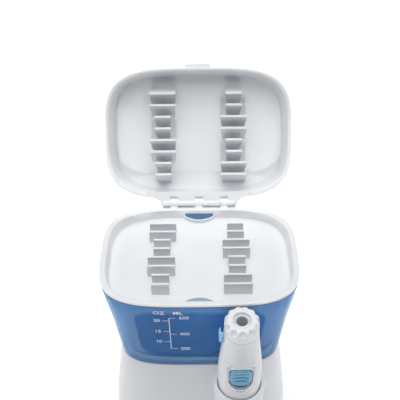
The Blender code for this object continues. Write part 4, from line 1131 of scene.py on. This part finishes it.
def eject_key():
    """The domed oval key beside the collar, with the stem that reaches into the handle."""
    rings = []
    for i in range(13):
        t = i / 12
        s = math.sqrt(max(0.0, 1 - (0.98 * t) ** 2.4))
        x = -13.9 - 1.4 * t
        rings.append([Vector((x, 4.4 * s * math.cos(a), EJECT_H + 6.3 * s * math.sin(a)))
                      for a in [2 * math.pi * k / 48 for k in range(48)]])
    stem = box((-14.4, -2.2, EJECT_H - 4.6), (-8.6, 2.2, EJECT_H + 0.8), 0.3)
    cap = combine(skin(rings), [stem], "UNION")
    settle(cap, "eject_key_cap", SKY_PALE, "eject_key", ["eject_button"])


def thumb_switch():
    """The sliding switch: a shield with a hollowed face and three grooves for the thumb."""
    edge = shield(7.4, SWITCH_TOP, SWITCH_BOTTOM, 6.2)
    middle = (SWITCH_TOP + SWITCH_BOTTOM) / 2 + 0.6
    rings = []
    for k, y in ((1.0, -11.6), (1.0, -13.6), (0.99, -14.1), (0.96, -14.55), (0.91, -14.85),
                 (0.84, -15.0), (0.74, -14.9), (0.6, -14.65), (0.45, -14.45), (0.3, -14.35),
                 (0.12, -14.3)):
        rings.append([Vector((x * k, y, middle + (z - middle) * k)) for x, z in edge])
    grooves = [box((-half, -15.6, z - 0.6), (half, -13.7, z + 0.6), 0.3, 2)
               for z, half in ((-42.6, 4.2), (-46.6, 5.2), (-50.4, 4.0))]
    switch = combine(skin(rings), grooves)
    stem = box((-2.0, -12.0, SWITCH_BOTTOM + 7.0), (2.0, -4.3, SWITCH_TOP - 4.5), 0.3)
    switch = combine(switch, [stem], "UNION")
    settle(switch, "thumb_switch", SKY, "slider", ["slide_switch"])


def hose_barb():
    line = rounded([(1.2, -130.0, 0), (2.6, -130.0, 0), (2.6, -137.0, 0), (6.6, -137.0, 0),
                    (6.6, -139.2, 0), (4.6, -139.2, 0), (4.6, -143.0, 0.3), (2.6, -143.0, 0.2),
                    (2.6, -147.6, 0), (3.0, -149.0, 0.2), (2.2, -152.0, 0.2), (1.2, -152.0, 0)], 3)
    barb = turned(line, closed=True, steps=48)
    settle(barb, "hose_barb", SKY, "handle", ["hose_nipple"])


# ---------------------------------------------------------------- carried-over nodes

CAD_LOOKS = (
    (STEEL, ("cover_screw_1", "cover_screw_2", "cover_screw_3", "cover_screw_4", "motor", "gear_axle",
             "motor_shaft", "wrist_pin", "check_ball", "hinge_pin")),
    (ACETAL, ("valve_stem", "pressure_valve_body", "motor_pinion", "drive_gear", "connecting_rod",
              "piston", "pump_body", "valve_head", "valve_poppet")),
    (RUBBER, ("power_switch", "power_supply", "inlet_seal", "piston_seal", "poppet_seal",
              "nozzle_seal")),
    (GREY, ("pump_frame", "inlet_socket", "tank_valve_body", "shut_off_valve")),
    (TUBE, ("inlet_tube", "outlet_tube", "upper_water_tube", "lower_water_tube")),
    (BOARD, ("control_board",)),
    (LENS, ("status_lens",)),
)


def dress_frame_nodes():
    for material, names in CAD_LOOKS:
        for name in names:
            mesh = NODES[name].data
            mesh.materials.clear()
            mesh.materials.append(material)


# ---------------------------------------------------------------- stage, lights and camera

def stage():
    """A pale floor that reads as white paper under the soft lights, and a faint even sky."""
    bm = bmesh.new()
    bmesh.ops.create_grid(bm, x_segments=1, y_segments=1, size=6.0)
    floor = loose("floor", bm)
    floor.location.z = -0.0004
    s = Shader("paper_floor")
    paper = s.ramp(s.noise(3.0), ((0.3, (0.93, 0.93, 0.93)), (0.7, (0.95, 0.95, 0.95))))
    body = s.principled(Base_Color=paper, Roughness=0.9, Specular_IOR_Level=0.0,
                        Emission_Color=(1.0, 1.0, 1.0, 1.0), Emission_Strength=0.15)
    floor.data.materials.append(s.end(body))

    world = bpy.data.worlds.new("studio")
    world.use_nodes = True
    sky = world.node_tree.nodes["Background"].inputs
    sky["Color"].default_value = (0.93, 0.96, 1.0, 1.0)
    sky["Strength"].default_value = 0.08
    bpy.context.scene.world = world


def soft_light(name, place, target, size, power, spread_deg=180.0):
    lamp = bpy.data.lights.new(name, "AREA")
    lamp.shape = "RECTANGLE"
    lamp.size, lamp.size_y = size
    lamp.energy = power
    lamp.spread = math.radians(spread_deg)
    made = new_object(name, lamp)
    made.location = place
    aim = (Vector(target) - Vector(place)).to_track_quat("-Z", "Y")
    made.rotation_euler = aim.to_euler()


def lights():
    middle = (0.0, 0.0, 0.18)
    soft_light("top", (0.0, -0.3, 1.43), middle, (1.3, 1.2), 14.0)
    soft_light("left", (-1.2, -0.1, 0.45), middle, (0.6, 1.0), 4.5)
    soft_light("right", (1.2, -0.1, 0.45), middle, (0.6, 1.0), 4.0)
    soft_light("lid", (0.0, -1.3, 0.26), (0.0, 0.05, 0.229), (0.35, 0.03), 0.022, 5.5)
    soft_light("backdrop", (0.0, 0.8, 1.1), (0.0, 0.8, 0.0), (1.6, 0.9), 9.0, 80.0)


def photo_camera():
    """A camera above the front, placed by its distance from the rim's middle and three turns."""
    offset = Vector((2.6, -392.3, 388.3))
    pitch, yaw, roll = 0.7109212, 0.0039814, -0.0113818
    lens, sensor = 68.81, 36.0
    ahead = Vector((-math.sin(yaw) * math.cos(pitch), math.cos(yaw) * math.cos(pitch),
                    -math.sin(pitch)))
    level = Vector((math.cos(yaw), math.sin(yaw), 0.0))
    above = level.cross(ahead)
    right = level * math.cos(roll) + above * math.sin(roll)
    up = above * math.cos(roll) - level * math.sin(roll)
    turn = Matrix((right, up, -ahead)).transposed().to_4x4()
    camera = bpy.data.cameras.new("photo_camera")
    camera.sensor_width = sensor
    camera.lens = lens
    camera.clip_start = 0.01
    made = new_object("photo_camera", camera)
    made.matrix_world = Matrix.Translation(DESIGN @ (Vector((0, 0, RIM_H)) + offset)) @ turn
    bpy.context.scene.camera = made


def main():
    photo_camera()
    stage()
    lights()
    base_body()
    base_print()
    bottom_plate()
    feet()
    gland_and_outlet()
    dial()
    power_button()
    tank_body()
    tank_marks()
    tray_dish()
    finger_bays()
    tray_ribs()
    tray_hinge()
    lid_body()
    lid_ribs()
    handle_body()
    grip_dots()
    switch_bezel()
    collar()
    nozzle_socket()
    eject_key()
    thumb_switch()
    hose_barb()
    dress_frame_nodes()
    bpy.context.scene.view_settings.view_transform = "Standard"


main()
